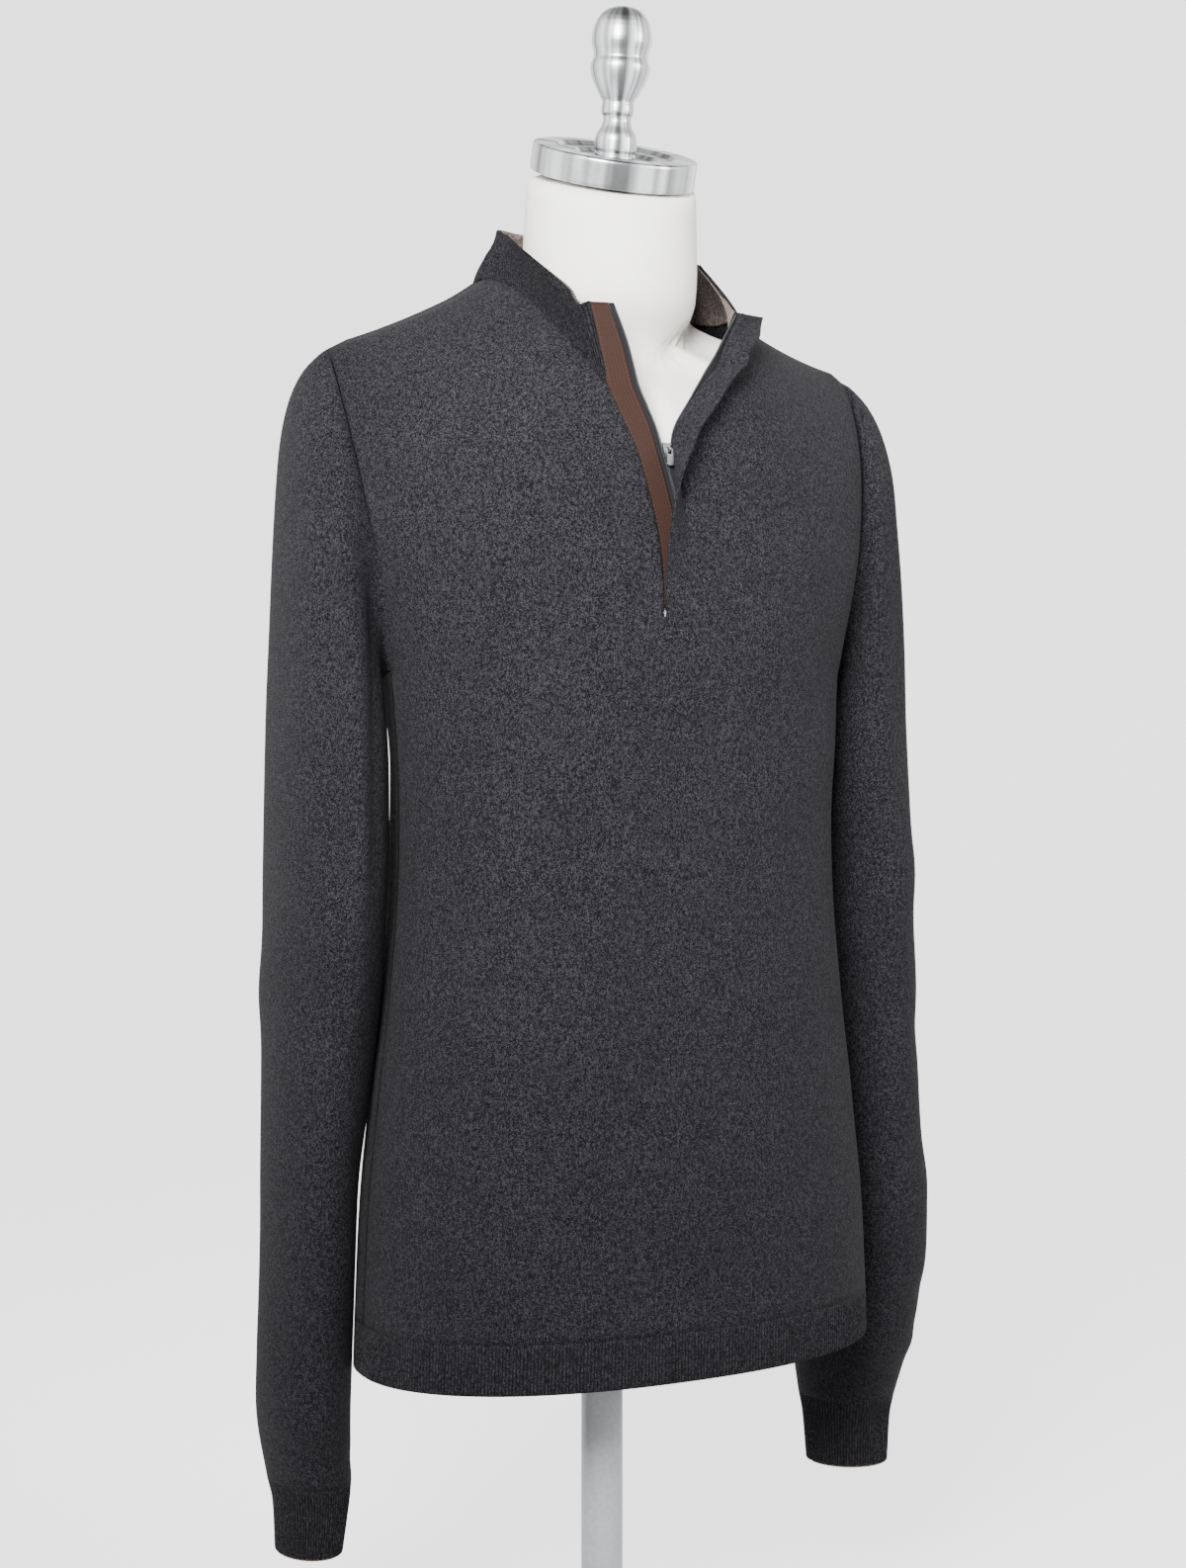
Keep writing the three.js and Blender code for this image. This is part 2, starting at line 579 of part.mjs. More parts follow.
// Points beside an edge, sunk under the knit: on the level into the opening, or under the edge
const bend = (x) => body("front", UNDERARM_Z) * (bulge(x / SHOULDER_TIP_X) - 1);
function besideEdge(hand, name, places) {
  return edges[hand].map(({ p, normal, beside }) => {
    const line = column(OPENING_SECTIONS, "z", name, p.z);
    const level = (x) => point(x, p.y + bend(x) - bend(p.x), p.z);
    const under = (reach) => p.clone().addScaledVector(beside, reach);
    return places(p.x, line, level, under).map((q) => q.addScaledVector(normal, -UNDER_KNIT));
  });
}
function sunk(grid, hand, depth) {
  return grid.map((row, i) => row.map((p) => p.clone().addScaledVector(edges[hand][i].normal, -depth)));
}

// The ribbon that faces the right front edge, and the two zip tapes with their coils
const ribbonTop = besideEdge("right", "zipRight", (edge, zip, level, under) => {
  const far = zip - ZIP_WIDTH - 0.3;
  return [under(RIBBON_TUCK), level(edge), level(mix(edge, far, 0.5)), level(far)];
});
add("ribbon", slab(ribbonTop, sunk(ribbonTop, "right", RIBBON)), brownRibbon);
const zipTops = {
  right: besideEdge("right", "zipRight", (edge, zip, level) => [level(zip - ZIP_WIDTH), level(zip)]),
  left: besideEdge("left", "zipLeft", (edge, zip, level, under) => [level(zip), level(edge), under(RIBBON_TUCK)]),
};
for (const hand of ["right", "left"])
  add(`zip_${hand}`, slab(zipTops[hand], sunk(zipTops[hand], hand, ZIP)), zipTape);

// The fly on the left edge: shut over the zip below the slider, turned out above it
const FLY_GAP = 0.35;
const flyRows = edges.left.map(({ p, normal, along, into }) => {
  const turn = radians(column(FLY_TURNS, "z", "turn", p.z));
  const root = p.clone().addScaledVector(into, FLY_GAP).addScaledVector(normal, FLY_GAP);
  const away = into.clone().multiplyScalar(cos(turn)).addScaledVector(normal, sin(turn));
  const face = normal.clone().multiplyScalar(cos(turn)).addScaledVector(into, -sin(turn));
  const reach = column(FLY_TURNS, "z", "along", p.z);
  const outer = [0, 0.33, 0.67, 1].map((t) =>
    root.clone().addScaledVector(away, FLY_WIDTH * t).addScaledVector(along, reach * t),
  );
  return { outer, inner: outer.map((q) => q.clone().addScaledVector(face, -FLY)) };
});
const flyTop = flyRows.map((row) => row.outer.slice().reverse());
const flyUnder = flyRows.map((row) => row.inner.slice().reverse());
add("fly", slab(flyTop, flyUnder), charcoal);

// The slider and its pull tab, drawn in the plane of the zip: X level, Y up along it, Z outwards
const SLIDER_Z = 818;
const SLIDER = { width: 7, foot: 4.6, length: 10, thick: 1.5 };
const BRIDGE = { inner: 1.6, outer: 2.4, width: 1.6, leg: 1.0 };
const TAB = { width: 4.6, length: 11, thick: 1.0, bar: 1.0, eye: 2.5, slot: 2.9, round: 1.4 };
const extrude = (shape, depth) => {
  const geometry = new THREE.ExtrudeGeometry(shape, { depth, bevelEnabled: false, curveSegments: 6 });
  geometry.deleteAttribute("uv");
  geometry.deleteAttribute("normal");
  return mergeVertices(geometry, 1e-4);
};
const pivot = (() => {
  const [a, b] = ["right", "left"].map((hand) => {
    const i = edges[hand].findIndex((edge) => edge.p.z > SLIDER_Z);
    const [lo, hi] = [zipTops[hand][i - 1], zipTops[hand][i]].map((row) => row[hand === "right" ? 1 : 0]);
    return lo.clone().lerp(hi, (SLIDER_Z - lo.z) / (hi.z - lo.z));
  });
  return a.lerp(b, 0.5);
})();
const slideUp = (() => {
  const rows = zipTops.right.map((row) => row[1]);
  const i = rows.findIndex((p) => p.z > SLIDER_Z);
  const rise = rows[i].clone().sub(rows[i - 1]);
  return point(0, rise.y, rise.z).normalize();
})();
const outwards = point(1, 0, 0).cross(slideUp);
const SLIDER_LIFT = 0.5 + SLIDER.thick + BRIDGE.leg;
pivot.addScaledVector(outwards, SLIDER_LIFT);
const zipPlane = new THREE.Matrix4().makeBasis(point(1, 0, 0), slideUp, outwards).setPosition(pivot);

const sliderOutline = new THREE.Shape();
sliderOutline.moveTo(-SLIDER.foot / 2, -SLIDER.length / 2);
sliderOutline.lineTo(SLIDER.foot / 2, -SLIDER.length / 2);
sliderOutline.lineTo(SLIDER.width / 2, SLIDER.length * 0.2);
sliderOutline.lineTo(SLIDER.width / 2, SLIDER.length / 2);
sliderOutline.lineTo(0.7, SLIDER.length / 2);
sliderOutline.lineTo(0, SLIDER.length * 0.36);
sliderOutline.lineTo(-0.7, SLIDER.length / 2);
sliderOutline.lineTo(-SLIDER.width / 2, SLIDER.length / 2);
sliderOutline.lineTo(-SLIDER.width / 2, SLIDER.length * 0.2);
const sliderBody = extrude(sliderOutline, SLIDER.thick).translate(0, 0, -BRIDGE.leg - SLIDER.thick);
add("slider", sliderBody.applyMatrix4(zipPlane), bareMetal);

// The bridge that holds the tab: half a ring over the pivot, on two short legs
const bridgeOutline = new THREE.Shape();
bridgeOutline.moveTo(BRIDGE.outer, 0.06 - BRIDGE.leg);
bridgeOutline.absarc(0, 0, BRIDGE.outer, 0, PI, false);
bridgeOutline.lineTo(-BRIDGE.outer, 0.06 - BRIDGE.leg);
bridgeOutline.lineTo(-BRIDGE.inner, 0.06 - BRIDGE.leg);
bridgeOutline.absarc(0, 0, BRIDGE.inner, PI, 0, true);
bridgeOutline.lineTo(BRIDGE.inner, 0.06 - BRIDGE.leg);
const bridge = extrude(bridgeOutline, BRIDGE.width).translate(0, 0, -BRIDGE.width / 2);
const upright = new THREE.Matrix4().makeBasis(point(0, 1, 0), point(0, 0, 1), point(1, 0, 0));
add("slider_bridge", bridge.applyMatrix4(upright).applyMatrix4(zipPlane), bareMetal);

const half = TAB.width / 2;
const tabOutline = new THREE.Shape();
tabOutline.moveTo(-half, TAB.bar / 2);
tabOutline.lineTo(-half, TAB.round - TAB.length);
tabOutline.quadraticCurveTo(-half, -TAB.length, TAB.round - half, -TAB.length);
tabOutline.lineTo(half - TAB.round, -TAB.length);
tabOutline.quadraticCurveTo(half, -TAB.length, half, TAB.round - TAB.length);
tabOutline.lineTo(half, TAB.bar / 2);
const eye = new THREE.Path();
eye.moveTo(-TAB.eye / 2, -TAB.bar / 2);
eye.lineTo(TAB.eye / 2, -TAB.bar / 2);
eye.lineTo(TAB.eye / 2, -TAB.bar / 2 - TAB.slot);
eye.lineTo(-TAB.eye / 2, -TAB.bar / 2 - TAB.slot);
tabOutline.holes.push(eye);
const tab = extrude(tabOutline, TAB.thick).translate(0, 0, -TAB.thick / 2);
add("pull_tab", tab.applyMatrix4(zipPlane), bareMetal);

// The dress form. Its level rings are found by looking outwards from an axis to where the cloth is,
// less the cloth's thickness and a small clearance, and the neck grows out of them.
const FORM_COLUMNS = 40;
const FORM_FOOT_Z = 264;
const FORM_INSET = { hung: KNIT + 4, worn: KNIT + 1.4, collar: 30 };
const FORM_AXIS_Y = -8;
const FORM_END = 4;
const NECK = { radius: 57, foot: 59, y: -13, z: 946, topY: -17.5, topZ: 1010.4, tilt: 21.5 };
const NECK_RISE = { from: 862, to: 925 };

function insideForm(x, y, z) {
  const side = y < CHEST_CENTRE_Y ? "front" : "back";
  if (z < UNDERARM_Z) {
    const reach = body("half", z) - FORM_INSET.hung;
    const depth = abs(body(side, z) - CHEST_CENTRE_Y) - FORM_INSET.hung;
    return pow(abs(x / reach), SECTION_POWER) + pow(abs((y - CHEST_CENTRE_Y) / depth), SECTION_POWER) < 1;
  }
  const near = (z - UNDERARM_Z) / (shoulderZ(x) - UNDERARM_Z);
  const middleY = mix(CHEST_CENTRE_Y, SHOULDER_LINE_Y, near * near);
  const neckline = yokeTop(x / SHOULDER_TIP_X, y < middleY ? "front" : "back");
  const inCollar = abs(x) < 112 ? smooth((near - neckline + 0.15) / 0.15) : 0;
  const worn = mix(FORM_INSET.hung, FORM_INSET.worn, smooth((near - 0.72) / 0.2));
  const inset = mix(worn, FORM_INSET.collar, inCollar);
  const share = (z + inset * 1.15 - UNDERARM_Z) / (shoulderZ(x) - UNDERARM_Z);
  const blend = clamp01((z - UNDERARM_Z) / 60);
  const edge = column(ARMHOLE_SECTIONS, "share", "half", clamp01(share)) + mix(-inset, FORM_END, blend);
  if (share >= 1 || abs(x) >= edge) return false;
  const middle = mix(CHEST_CENTRE_Y, SHOULDER_LINE_Y, share * share);
  const face = y < middle ? "front" : "back";
  const reach = (edge - FORM_END * blend) / pow(sin(panelAngle(share, face)), 2 / SECTION_POWER);
  const deep = abs(body(face, UNDERARM_Z) - CHEST_CENTRE_Y) * sqrt(1 - share * share * share) - inset;
  const rounded = pow(1 - pow(abs(x) / edge, 7), 1 / 3);
  return abs(y - middle) < deep * bulge(x / reach) * rounded;
}

function formRing(z) {
  const neckShare = smooth((z - NECK_RISE.from) / (NECK_RISE.to - NECK_RISE.from));
  return count(FORM_COLUMNS).map((i) => {
    const turn = (2 * PI * i) / FORM_COLUMNS;
    const [dx, dy] = [cos(turn), sin(turn)];
    let [near, far] = [0, 300];
    for (const _ of count(22)) {
      const r = (near + far) / 2;
      if (insideForm(dx * r, FORM_AXIS_Y + dy * r, z)) near = r;
      else far = r;
    }
    const off = NECK.y - FORM_AXIS_Y;
    const neckR = off * dy + sqrt(NECK.foot ** 2 - off * off * dx * dx);
    const r = pow(pow(near, 10) + pow(neckR * neckShare, 10), 0.1);
    return point(dx * r, FORM_AXIS_Y + dy * r, z);
  });
}

// A level or tilted circle whose plane leans forwards by the given angle
function circle(centre, radius, tilt, steps) {
  return count(steps).map((i) => {
    const turn = (2 * PI * i) / steps;
    const across = radius * sin(turn);
    return point(radius * cos(turn), across * cos(tilt), across * sin(tilt)).add(centre);
  });
}
const NECK_TILT = radians(NECK.tilt);
const formHeights = [
  ...count(8).map((i) => mix(FORM_FOOT_Z, UNDERARM_Z, i / 7)),
  ...count(13).map((i) => mix(UNDERARM_Z + 20, NECK.z - 8, i / 12)),
];
const neckRings = count(4).map((i) => {
  const rise = (i + 1) / 4;
  const centre = point(0, mix(NECK.y, NECK.topY, rise), mix(NECK.z, NECK.topZ, rise));
  return circle(centre, mix(NECK.foot, NECK.radius, rise), NECK_TILT * rise, FORM_COLUMNS);
});
add("form_torso", loft([...formHeights.map(formRing), ...neckRings]), linen);

// Turned pieces: rings of a profile, each at a height along an axis that can bend near its foot
function lathe(profile, foot, tilt, footTilt, steps) {
  const axis = point(0, -sin(tilt), cos(tilt));
  return loft(
    profile.map(({ r, h }) => {
      const lean = mix(footTilt, tilt, smooth(h / 12));
      return circle(foot.clone().addScaledVector(axis, h), r, lean, steps);
    }),
  );
}
const CAP = { thick: 19, r: 55.4 };
const CAP_PROFILE = [
  { r: 54.4, h: 0 },
  { r: CAP.r, h: 1 },
  { r: CAP.r, h: CAP.thick - 1.2 },
  { r: 54.2, h: CAP.thick },
  { r: 40, h: CAP.thick },
  { r: 37, h: CAP.thick - 2.5 },
  { r: 28, h: CAP.thick - 2.5 },
  { r: 25.5, h: CAP.thick - 5 },
  { r: 16, h: CAP.thick - 5 },
];
const capNormal = point(0, -sin(NECK_TILT), cos(NECK_TILT));
const capFoot = point(0, NECK.topY, NECK.topZ).addScaledVector(capNormal, 0.35);
add("neck_cap", lathe(CAP_PROFILE, capFoot, NECK_TILT, NECK_TILT, 48), bareMetal);

const FINIAL_TILT = radians(9.5);
const FINIAL_PROFILE = [
  { r: 13.4, h: 0 },
  { r: 14, h: 0.8 },
  { r: 14.2, h: 11 },
  { r: 13.2, h: 15 },
  { r: 10.6, h: 19.5 },
  { r: 9.2, h: 23.5 },
  { r: 9.4, h: 27 },
  { r: 10.3, h: 28.5 },
  { r: 10.2, h: 35 },
  { r: 11.6, h: 38 },
  { r: 15.6, h: 45 },
  { r: 18.8, h: 52 },
  { r: 19.9, h: 58 },
  { r: 19.4, h: 61 },
  { r: 17.9, h: 64.5 },
  { r: 18.6, h: 69 },
  { r: 20, h: 74 },
  { r: 19.8, h: 80 },
  { r: 18, h: 87 },
  { r: 14, h: 93 },
  { r: 8, h: 96.6 },
  { r: 2, h: 97.8 },
];
const finialFoot = capFoot.clone().addScaledVector(capNormal, CAP.thick - 5 + 0.35);
add("finial", lathe(FINIAL_PROFILE, finialFoot, FINIAL_TILT, NECK_TILT, 32), bareMetal);

// The stand: a short pole on a round foot
const POLE = { r: 14, from: 26.3, to: FORM_FOOT_Z - 0.35 };
const STAND_PROFILE = [
  { r: 146, h: 0 },
  { r: 150, h: 3 },
  { r: 150, h: 7 },
  { r: 146, h: 10 },
  { r: 40, h: 12 },
  { r: 24, h: 15 },
  { r: 22, h: 26 },
];
add("stand_base", lathe(STAND_PROFILE, point(0, 0, 0), 0, 0, 48), bareMetal);
const poleProfile = [{ r: POLE.r, h: 0 }, { r: POLE.r, h: POLE.to - POLE.from }];
add("pole", lathe(poleProfile, point(0, 0, POLE.from), 0, 0, 24), bareMetal);

export default part;
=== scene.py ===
"""The looks of a quarter zip sweater in fine charcoal wool, worn open on a limbless dress form.

Every knitted piece is worked out here from the same sizes as the solids, on a fine grid, and gets
its ribs, soft folds, seams, stitches and zip teeth. Sizes in the functions are millimetres.
"""
import math

import bmesh
import bpy
import numpy as np
from bpy.props import FloatProperty, FloatVectorProperty, PointerProperty
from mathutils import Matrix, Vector


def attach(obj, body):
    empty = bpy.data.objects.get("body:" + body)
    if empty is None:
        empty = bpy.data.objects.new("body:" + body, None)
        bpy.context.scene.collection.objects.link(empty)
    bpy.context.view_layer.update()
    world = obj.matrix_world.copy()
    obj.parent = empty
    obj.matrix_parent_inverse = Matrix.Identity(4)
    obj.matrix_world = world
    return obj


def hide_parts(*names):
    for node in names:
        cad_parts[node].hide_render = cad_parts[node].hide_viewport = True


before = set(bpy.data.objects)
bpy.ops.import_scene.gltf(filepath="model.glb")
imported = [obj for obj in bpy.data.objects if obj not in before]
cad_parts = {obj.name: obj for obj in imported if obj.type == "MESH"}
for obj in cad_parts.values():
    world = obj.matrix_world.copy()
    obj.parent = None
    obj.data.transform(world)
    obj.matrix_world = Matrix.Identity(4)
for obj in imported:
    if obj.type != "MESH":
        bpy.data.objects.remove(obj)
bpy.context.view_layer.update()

bl_info = {
    "name": "Quarter zip sweater on a dress form",
    "version": (1, 0, 0),
    "blender": (4, 5, 0),
    "location": "View3D > Sidebar > Sweater",
    "description": "Builds the knit, trims, zip, form and stage of a quarter zip sweater",
    "category": "Add Mesh",
}

MM = 0.001
BODY = "sweater_and_form"

HEM_Z, HEM_RIB, HEM_TILT, HEM_TILT_FADE = 234, 31, 7, 260
UNDERARM_Z, SHOULDER_TIP_Z, NECK_POINT_Z = 680, 888, 946
SHOULDER_TIP_X, NECK_POINT_X, SHOULDER_LINE_Y = 188, 84, 16
CHEST_CENTRE_Y, SECTION_POWER = -20, 2.25
KNIT, LINING, RIBBON, FLY, ZIP = 1.6, 1.2, 1.0, 1.6, 1.6
UNDER_KNIT, FLY_WIDTH, ZIP_WIDTH, SLIDER_Z = 1.95, 19.4, 3.6, 818
PLACKET_ACROSS, YOKE_ROWS, PLACKET_ROW = 0.0625, 11, 3
NECK_ACROSS = {"right": 84 / 188, "left": 100 / 188}
NECK_DROP = {"front": {"right": 0.375, "left": 0.32}, "back": {"right": 0.1, "left": 0.1}}


def table(names, *rows):
    """A table with named columns, each an array."""
    return {name: np.array(values, float) for name, values in zip(names.split(), zip(*rows))}


BODY_SECTIONS = table(
    "z half front back",
    (234, 174.5, -142, 104), (265, 173.5, -143, 105), (340, 170, -140, 103), (400, 164, -136, 101),
    (465, 156.5, -132, 98), (540, 150.5, -128, 97), (610, 150, -127, 98), (680, 155, -129, 102),
)
ARMHOLE_SECTIONS = table(
    "share half", (0, 155), (0.14, 161), (0.37, 172), (0.6, 180), (0.8, 185), (1, 188)
)
OPENING_SECTIONS = table(
    "z right zipRight zipLeft left",
    (708, -10, 8, 8.6, 10.3), (735, -10, 8, 8.6, 10.3), (755, -11, 7, 7.7, 9.7),
    (775, -13.6, 4.4, 5, 7.5), (793, -17, 1.2, 1.8, 5), (808, -20, -1.8, -1.1, 3.6),
    (821, -22.8, -4.4, 1.6, 3.6), (830, -26, -6, 3.6, 5.4), (839, -29, -8.2, 8.2, 10.2),
    (852, -33, -12, 18, 20), (867, -37, -16, 29.5, 31.5), (890, -41.5, -21.2, 49, 51),
    (916, -45, -29.5, 68.5, 70),
)
COLLAR_TOP = table(
    "turn x y z",
    (0, -45, -88, 914.5), (0.04, -51, -80, 914), (0.08, -54, -71, 925), (0.13, -60, -50, 940),
    (0.19, -66, -24, 957), (0.25, -70, 2, 973), (0.33, -64, 30, 981), (0.42, -38, 52, 984),
    (0.5, 0, 59, 985), (0.58, 38, 52, 983), (0.67, 66, 28, 975), (0.75, 72, 0, 962),
    (0.81, 73, -26, 944), (0.87, 72, -46, 929), (0.93, 70, -60, 919), (1, 70, -70, 916),
)
FLY_TURNS = table(
    "z turn along", (706, 0, 0), (735, 3, 0), (755, 18, 0), (793, 66, 0), (821, 118, 0),
    (842, 136, 2), (866, 130, 8), (890, 117, 15), (916, 101, 19),
)
SLEEVE_HEAD = table(
    "outerX outerZ innerX innerZ y deep",
    (199, 883, 156.6, 676, 12, 55), (206.5, 874, 157, 672, 13, 57), (212, 860, 156.5, 666, 14, 59),
    (216, 838, 156, 657, 14, 61), (218.5, 806, 154, 645, 14, 63), (221, 764, 152.6, 631, 13, 65),
    (223, 712, 151.6, 612, 13, 67), (224.5, 655, 151, 590, 15, 70),
)
SLEEVE_ARMS = {
    "right": table(
        "z x y thick deep",
        (555, 188, 18, 37.5, 72), (525, 188.6, 19, 37, 70), (473, 189.6, 22, 36.8, 64),
        (421, 191.7, 25, 34.4, 58), (343, 196.1, 29, 30, 52), (300, 196.3, 31, 29.6, 50),
        (214, 198.2, 34, 29.9, 46), (188, 197.9, 35, 29.4, 45), (164, 196, 35, 28.6, 42),
        (150, 194, 35, 26.8, 37),
    ),
    "left": table(
        "z x y thick deep",
        (555, 195, 18, 36, 69), (518, 197, 19, 36, 67), (461, 202.5, 22, 36, 64),
        (405, 206, 25, 36.5, 61), (349, 209.5, 27, 39, 59), (293, 212.5, 29, 42, 58),
        (262, 211.5, 31, 42, 57), (236, 208.5, 33, 41.5, 54), (208, 204.5, 34, 39.5, 49),
        (188, 202.6, 35, 36.5, 43), (173, 202.4, 35, 33, 38),
    ),
}
CUFFS = {
    "right": table(
        "z x y thick deep", (150, 194, 35, 26.8, 37), (136, 192.9, 35, 24.7, 33.5), (104, 194.3, 35, 21.6, 31)
    ),
    "left": table(
        "z x y thick deep", (173, 202.4, 35, 33, 38), (158, 202.5, 35, 30.8, 33), (126, 203, 35, 28.7, 30)
    ),
}

# Soft folds: from (x, z) to (x, z) on a panel, or (degrees round, z) on a sleeve, how wide, how deep
BODY_FOLDS = {
    "front": (
        (-150, 800, -118, 640, 20, -2.6), (-132, 830, -96, 700, 26, 1.6), (-140, 650, -60, 560, 34, 1.6),
        (150, 790, 120, 660, 18, -2.6), (140, 640, 60, 590, 30, 1.6), (24, 812, 34, 770, 9, -2.2),
        (44, 800, 60, 740, 16, 1.4), (-130, 470, -40, 440, 30, 1.5), (120, 500, 50, 470, 28, 1.4),
        (-120, 330, 10, 300, 34, -1.6), (60, 340, 140, 380, 30, -1.5), (-20, 560, 40, 420, 40, 1.0),
    ),
    "back": (
        (-120, 820, -60, 760, 26, 1.8), (120, 820, 60, 760, 26, 1.8), (-140, 640, -70, 560, 26, -2.0),
        (140, 640, 70, 560, 26, -2.0), (-100, 500, 60, 470, 30, 2.2), (-60, 430, 110, 400, 28, -2.0),
        (-120, 360, 20, 330, 30, 1.8), (20, 300, 140, 320, 30, -1.6),
    ),
}
SLEEVE_FOLDS = {
    "right": (
        (58, 770, 70, 560, 10, -3.0), (84, 750, 98, 500, 11, 2.4), (114, 720, 112, 560, 9, -2.4),
        (20, 560, 80, 500, 16, 1.4), (40, 470, 120, 430, 16, -1.6), (-40, 460, 20, 500, 18, 1.6),
        (60, 330, 130, 300, 14, 1.4), (10, 300, 70, 260, 16, -1.2), (30, 196, 120, 186, 8, 1.8),
        (-150, 600, -90, 540, 18, 2.0), (-160, 420, -80, 400, 18, -2.0), (70, 172, 150, 164, 7, -1.4),
    ),
    "left": (
        (60, 780, 72, 640, 12, -2.4), (92, 740, 96, 560, 12, 1.8), (30, 560, 110, 500, 16, 1.6),
        (40, 440, 120, 400, 18, -1.6), (20, 340, 110, 300, 16, 1.8), (40, 250, 130, 236, 12, -2.0),
        (20, 214, 120, 206, 9, 1.8), (-150, 600, -90, 540, 18, 2.0), (-160, 400, -80, 380, 18, -2.0),
        (-120, 260, -40, 240, 14, 1.8),
    ),
}


def column(rows, key, name, at):
    """A smooth cubic between a table's rows: each row's slope is that of the line that joins the
    rows on its two sides."""
    keys, values, at = rows[key], rows[name], np.asarray(at, float)
    if keys[0] > keys[-1]:
        keys, values = keys[::-1], values[::-1]
    last = len(keys) - 1
    i = np.clip(np.searchsorted(keys, at) - 1, 0, last - 1)
    low, high = np.maximum(np.arange(last + 1) - 1, 0), np.minimum(np.arange(last + 1) + 1, last)
    slope = (values[high] - values[low]) / (keys[high] - keys[low])
    step = keys[i + 1] - keys[i]
    t = np.clip((at - keys[i]) / step, 0, 1)
    rise = step * t * (1 - t) * ((1 - t) * slope[i] - t * slope[i + 1])
    return values[i] + (values[i + 1] - values[i]) * t * t * (3 - 2 * t) + rise


def smooth(t):
    """The s-shaped step 3t^2 - 2t^3 between 0 and 1."""
    t = np.clip(t, 0, 1)
    return t * t * (3 - 2 * t)


def stack(x, y, z):
    """Three arrays as one array of points."""
    return np.stack(np.broadcast_arrays(x, y, z), -1).astype(float)


def shoulder_z(x):
    """The shoulder line: it slopes down to the tip, and under the collar it is a soft arch. It sags by
    6 mm on the right and 12.5 mm on the left, most at x = 108, from x = 62 out to x = 174."""
    soft = np.hypot(x, 40) - (math.hypot(NECK_POINT_X, 40) - NECK_POINT_X)
    share = (soft - NECK_POINT_X) / (SHOULDER_TIP_X - NECK_POINT_X)
    side = np.abs(x)
    sag = np.where(x < 0, 6, 12.5) * smooth((side - 62) / 46) * (1 - np.clip((side - 108) / 66, 0, 1) ** 2)
    return NECK_POINT_Z + (SHOULDER_TIP_Z - NECK_POINT_Z) * share - sag


def bulge(t):
    """The rounded section (1 - |t|^p)^(1/p), which is 1 in the middle and 0 at both sides."""
    return np.maximum(0, 1 - np.minimum(1, np.abs(t)) ** SECTION_POWER) ** (1 / SECTION_POWER)


def trunk_point(across, z, side):
    """Below the underarm: x is the half width times across, and y follows the rounded section."""
    depth = column(BODY_SECTIONS, "z", side, z) - CHEST_CENTRE_Y
    tilt = HEM_TILT * across * (1 - np.clip((z - HEM_Z) / HEM_TILT_FADE, 0, 1))
    return stack(
        column(BODY_SECTIONS, "z", "half", z) * across, CHEST_CENTRE_Y + depth * bulge(across), z + tilt
    )


def yoke_point(across, share, side, shift=0.0):
    """Above the underarm: the rounded section shrinks by sqrt(1 - share^3) up to the shoulder line,
    the armhole cuts it at both sides, and the open front moves its columns sideways."""
    half = column(ARMHOLE_SECTIONS, "share", "half", share)
    left = 1 - np.clip(share / 0.5, 0, 1)
    cut = (0.13 if side == "front" else 0.3) * np.sqrt(1 - left * left)
    reach = half / np.sin(np.pi / 2 * (1 - cut)) ** (2 / SECTION_POWER)
    x = half * across
    if side == "front":
        z = UNDERARM_Z + (shoulder_z(x) - UNDERARM_Z) * share
        for hand, way in (("right", -1), ("left", 1)):
            moved = column(OPENING_SECTIONS, "z", hand, z) - way * PLACKET_ACROSS * half
            fade = 1 - np.clip((np.abs(across) - PLACKET_ACROSS) / (NECK_ACROSS[hand] - PLACKET_ACROSS), 0, 1)
            x = x + np.where(np.sign(across) == way, shift * moved * fade * fade, 0)
    centre = CHEST_CENTRE_Y + (SHOULDER_LINE_Y - CHEST_CENTRE_Y) * share * share
    depth = (column(BODY_SECTIONS, "z", side, UNDERARM_Z) - CHEST_CENTRE_Y) * np.sqrt(np.maximum(0, 1 - share**3))
    return stack(x, centre + depth * bulge(x / reach), UNDERARM_Z + (shoulder_z(x) - UNDERARM_Z) * share)


def yoke_top(across, side):
    """The neckline as a share of the height to the shoulder line: a parabola between the neck points."""
    neck = np.where(across < 0, NECK_ACROSS["right"], NECK_ACROSS["left"])
    drop = np.where(across < 0, NECK_DROP[side]["right"], NECK_DROP[side]["left"])
    t = np.minimum(1, np.abs(across) / neck)
    return 1 - drop * (1 - t * t)


def grid_normals(points, closed=False, flip=False):
    """Unit normals: the cross product of the steps along the columns and along the rows."""
    if closed:
        along = np.roll(points, -1, 1) - np.roll(points, 1, 1)
    else:
        along = np.gradient(points, axis=1)
    normals = np.cross(along, np.gradient(points, axis=0))
    normals /= np.maximum(np.linalg.norm(normals, axis=-1, keepdims=True), 1e-9)
    return -normals if flip else normals


def run(points, axis=0):
    """How far along a line of points each one is, as the sum of the steps before it."""
    steps = np.linalg.norm(np.diff(points, axis=axis), axis=-1)
    start = np.zeros_like(np.take(steps, [0], axis))
    return np.concatenate([start, np.cumsum(steps, axis)], axis)


def resampled(path, *others, step=3.0):
    """A line of points, and what goes with them, at even steps of about the given length."""
    at = run(path)
    even = np.linspace(0, at[-1], max(2, int(round(at[-1] / step)) + 1))
    both = [np.stack([np.interp(even, at, a[:, k]) for k in range(a.shape[1])], -1) for a in (path, *others)]
    return both if others else both[0]


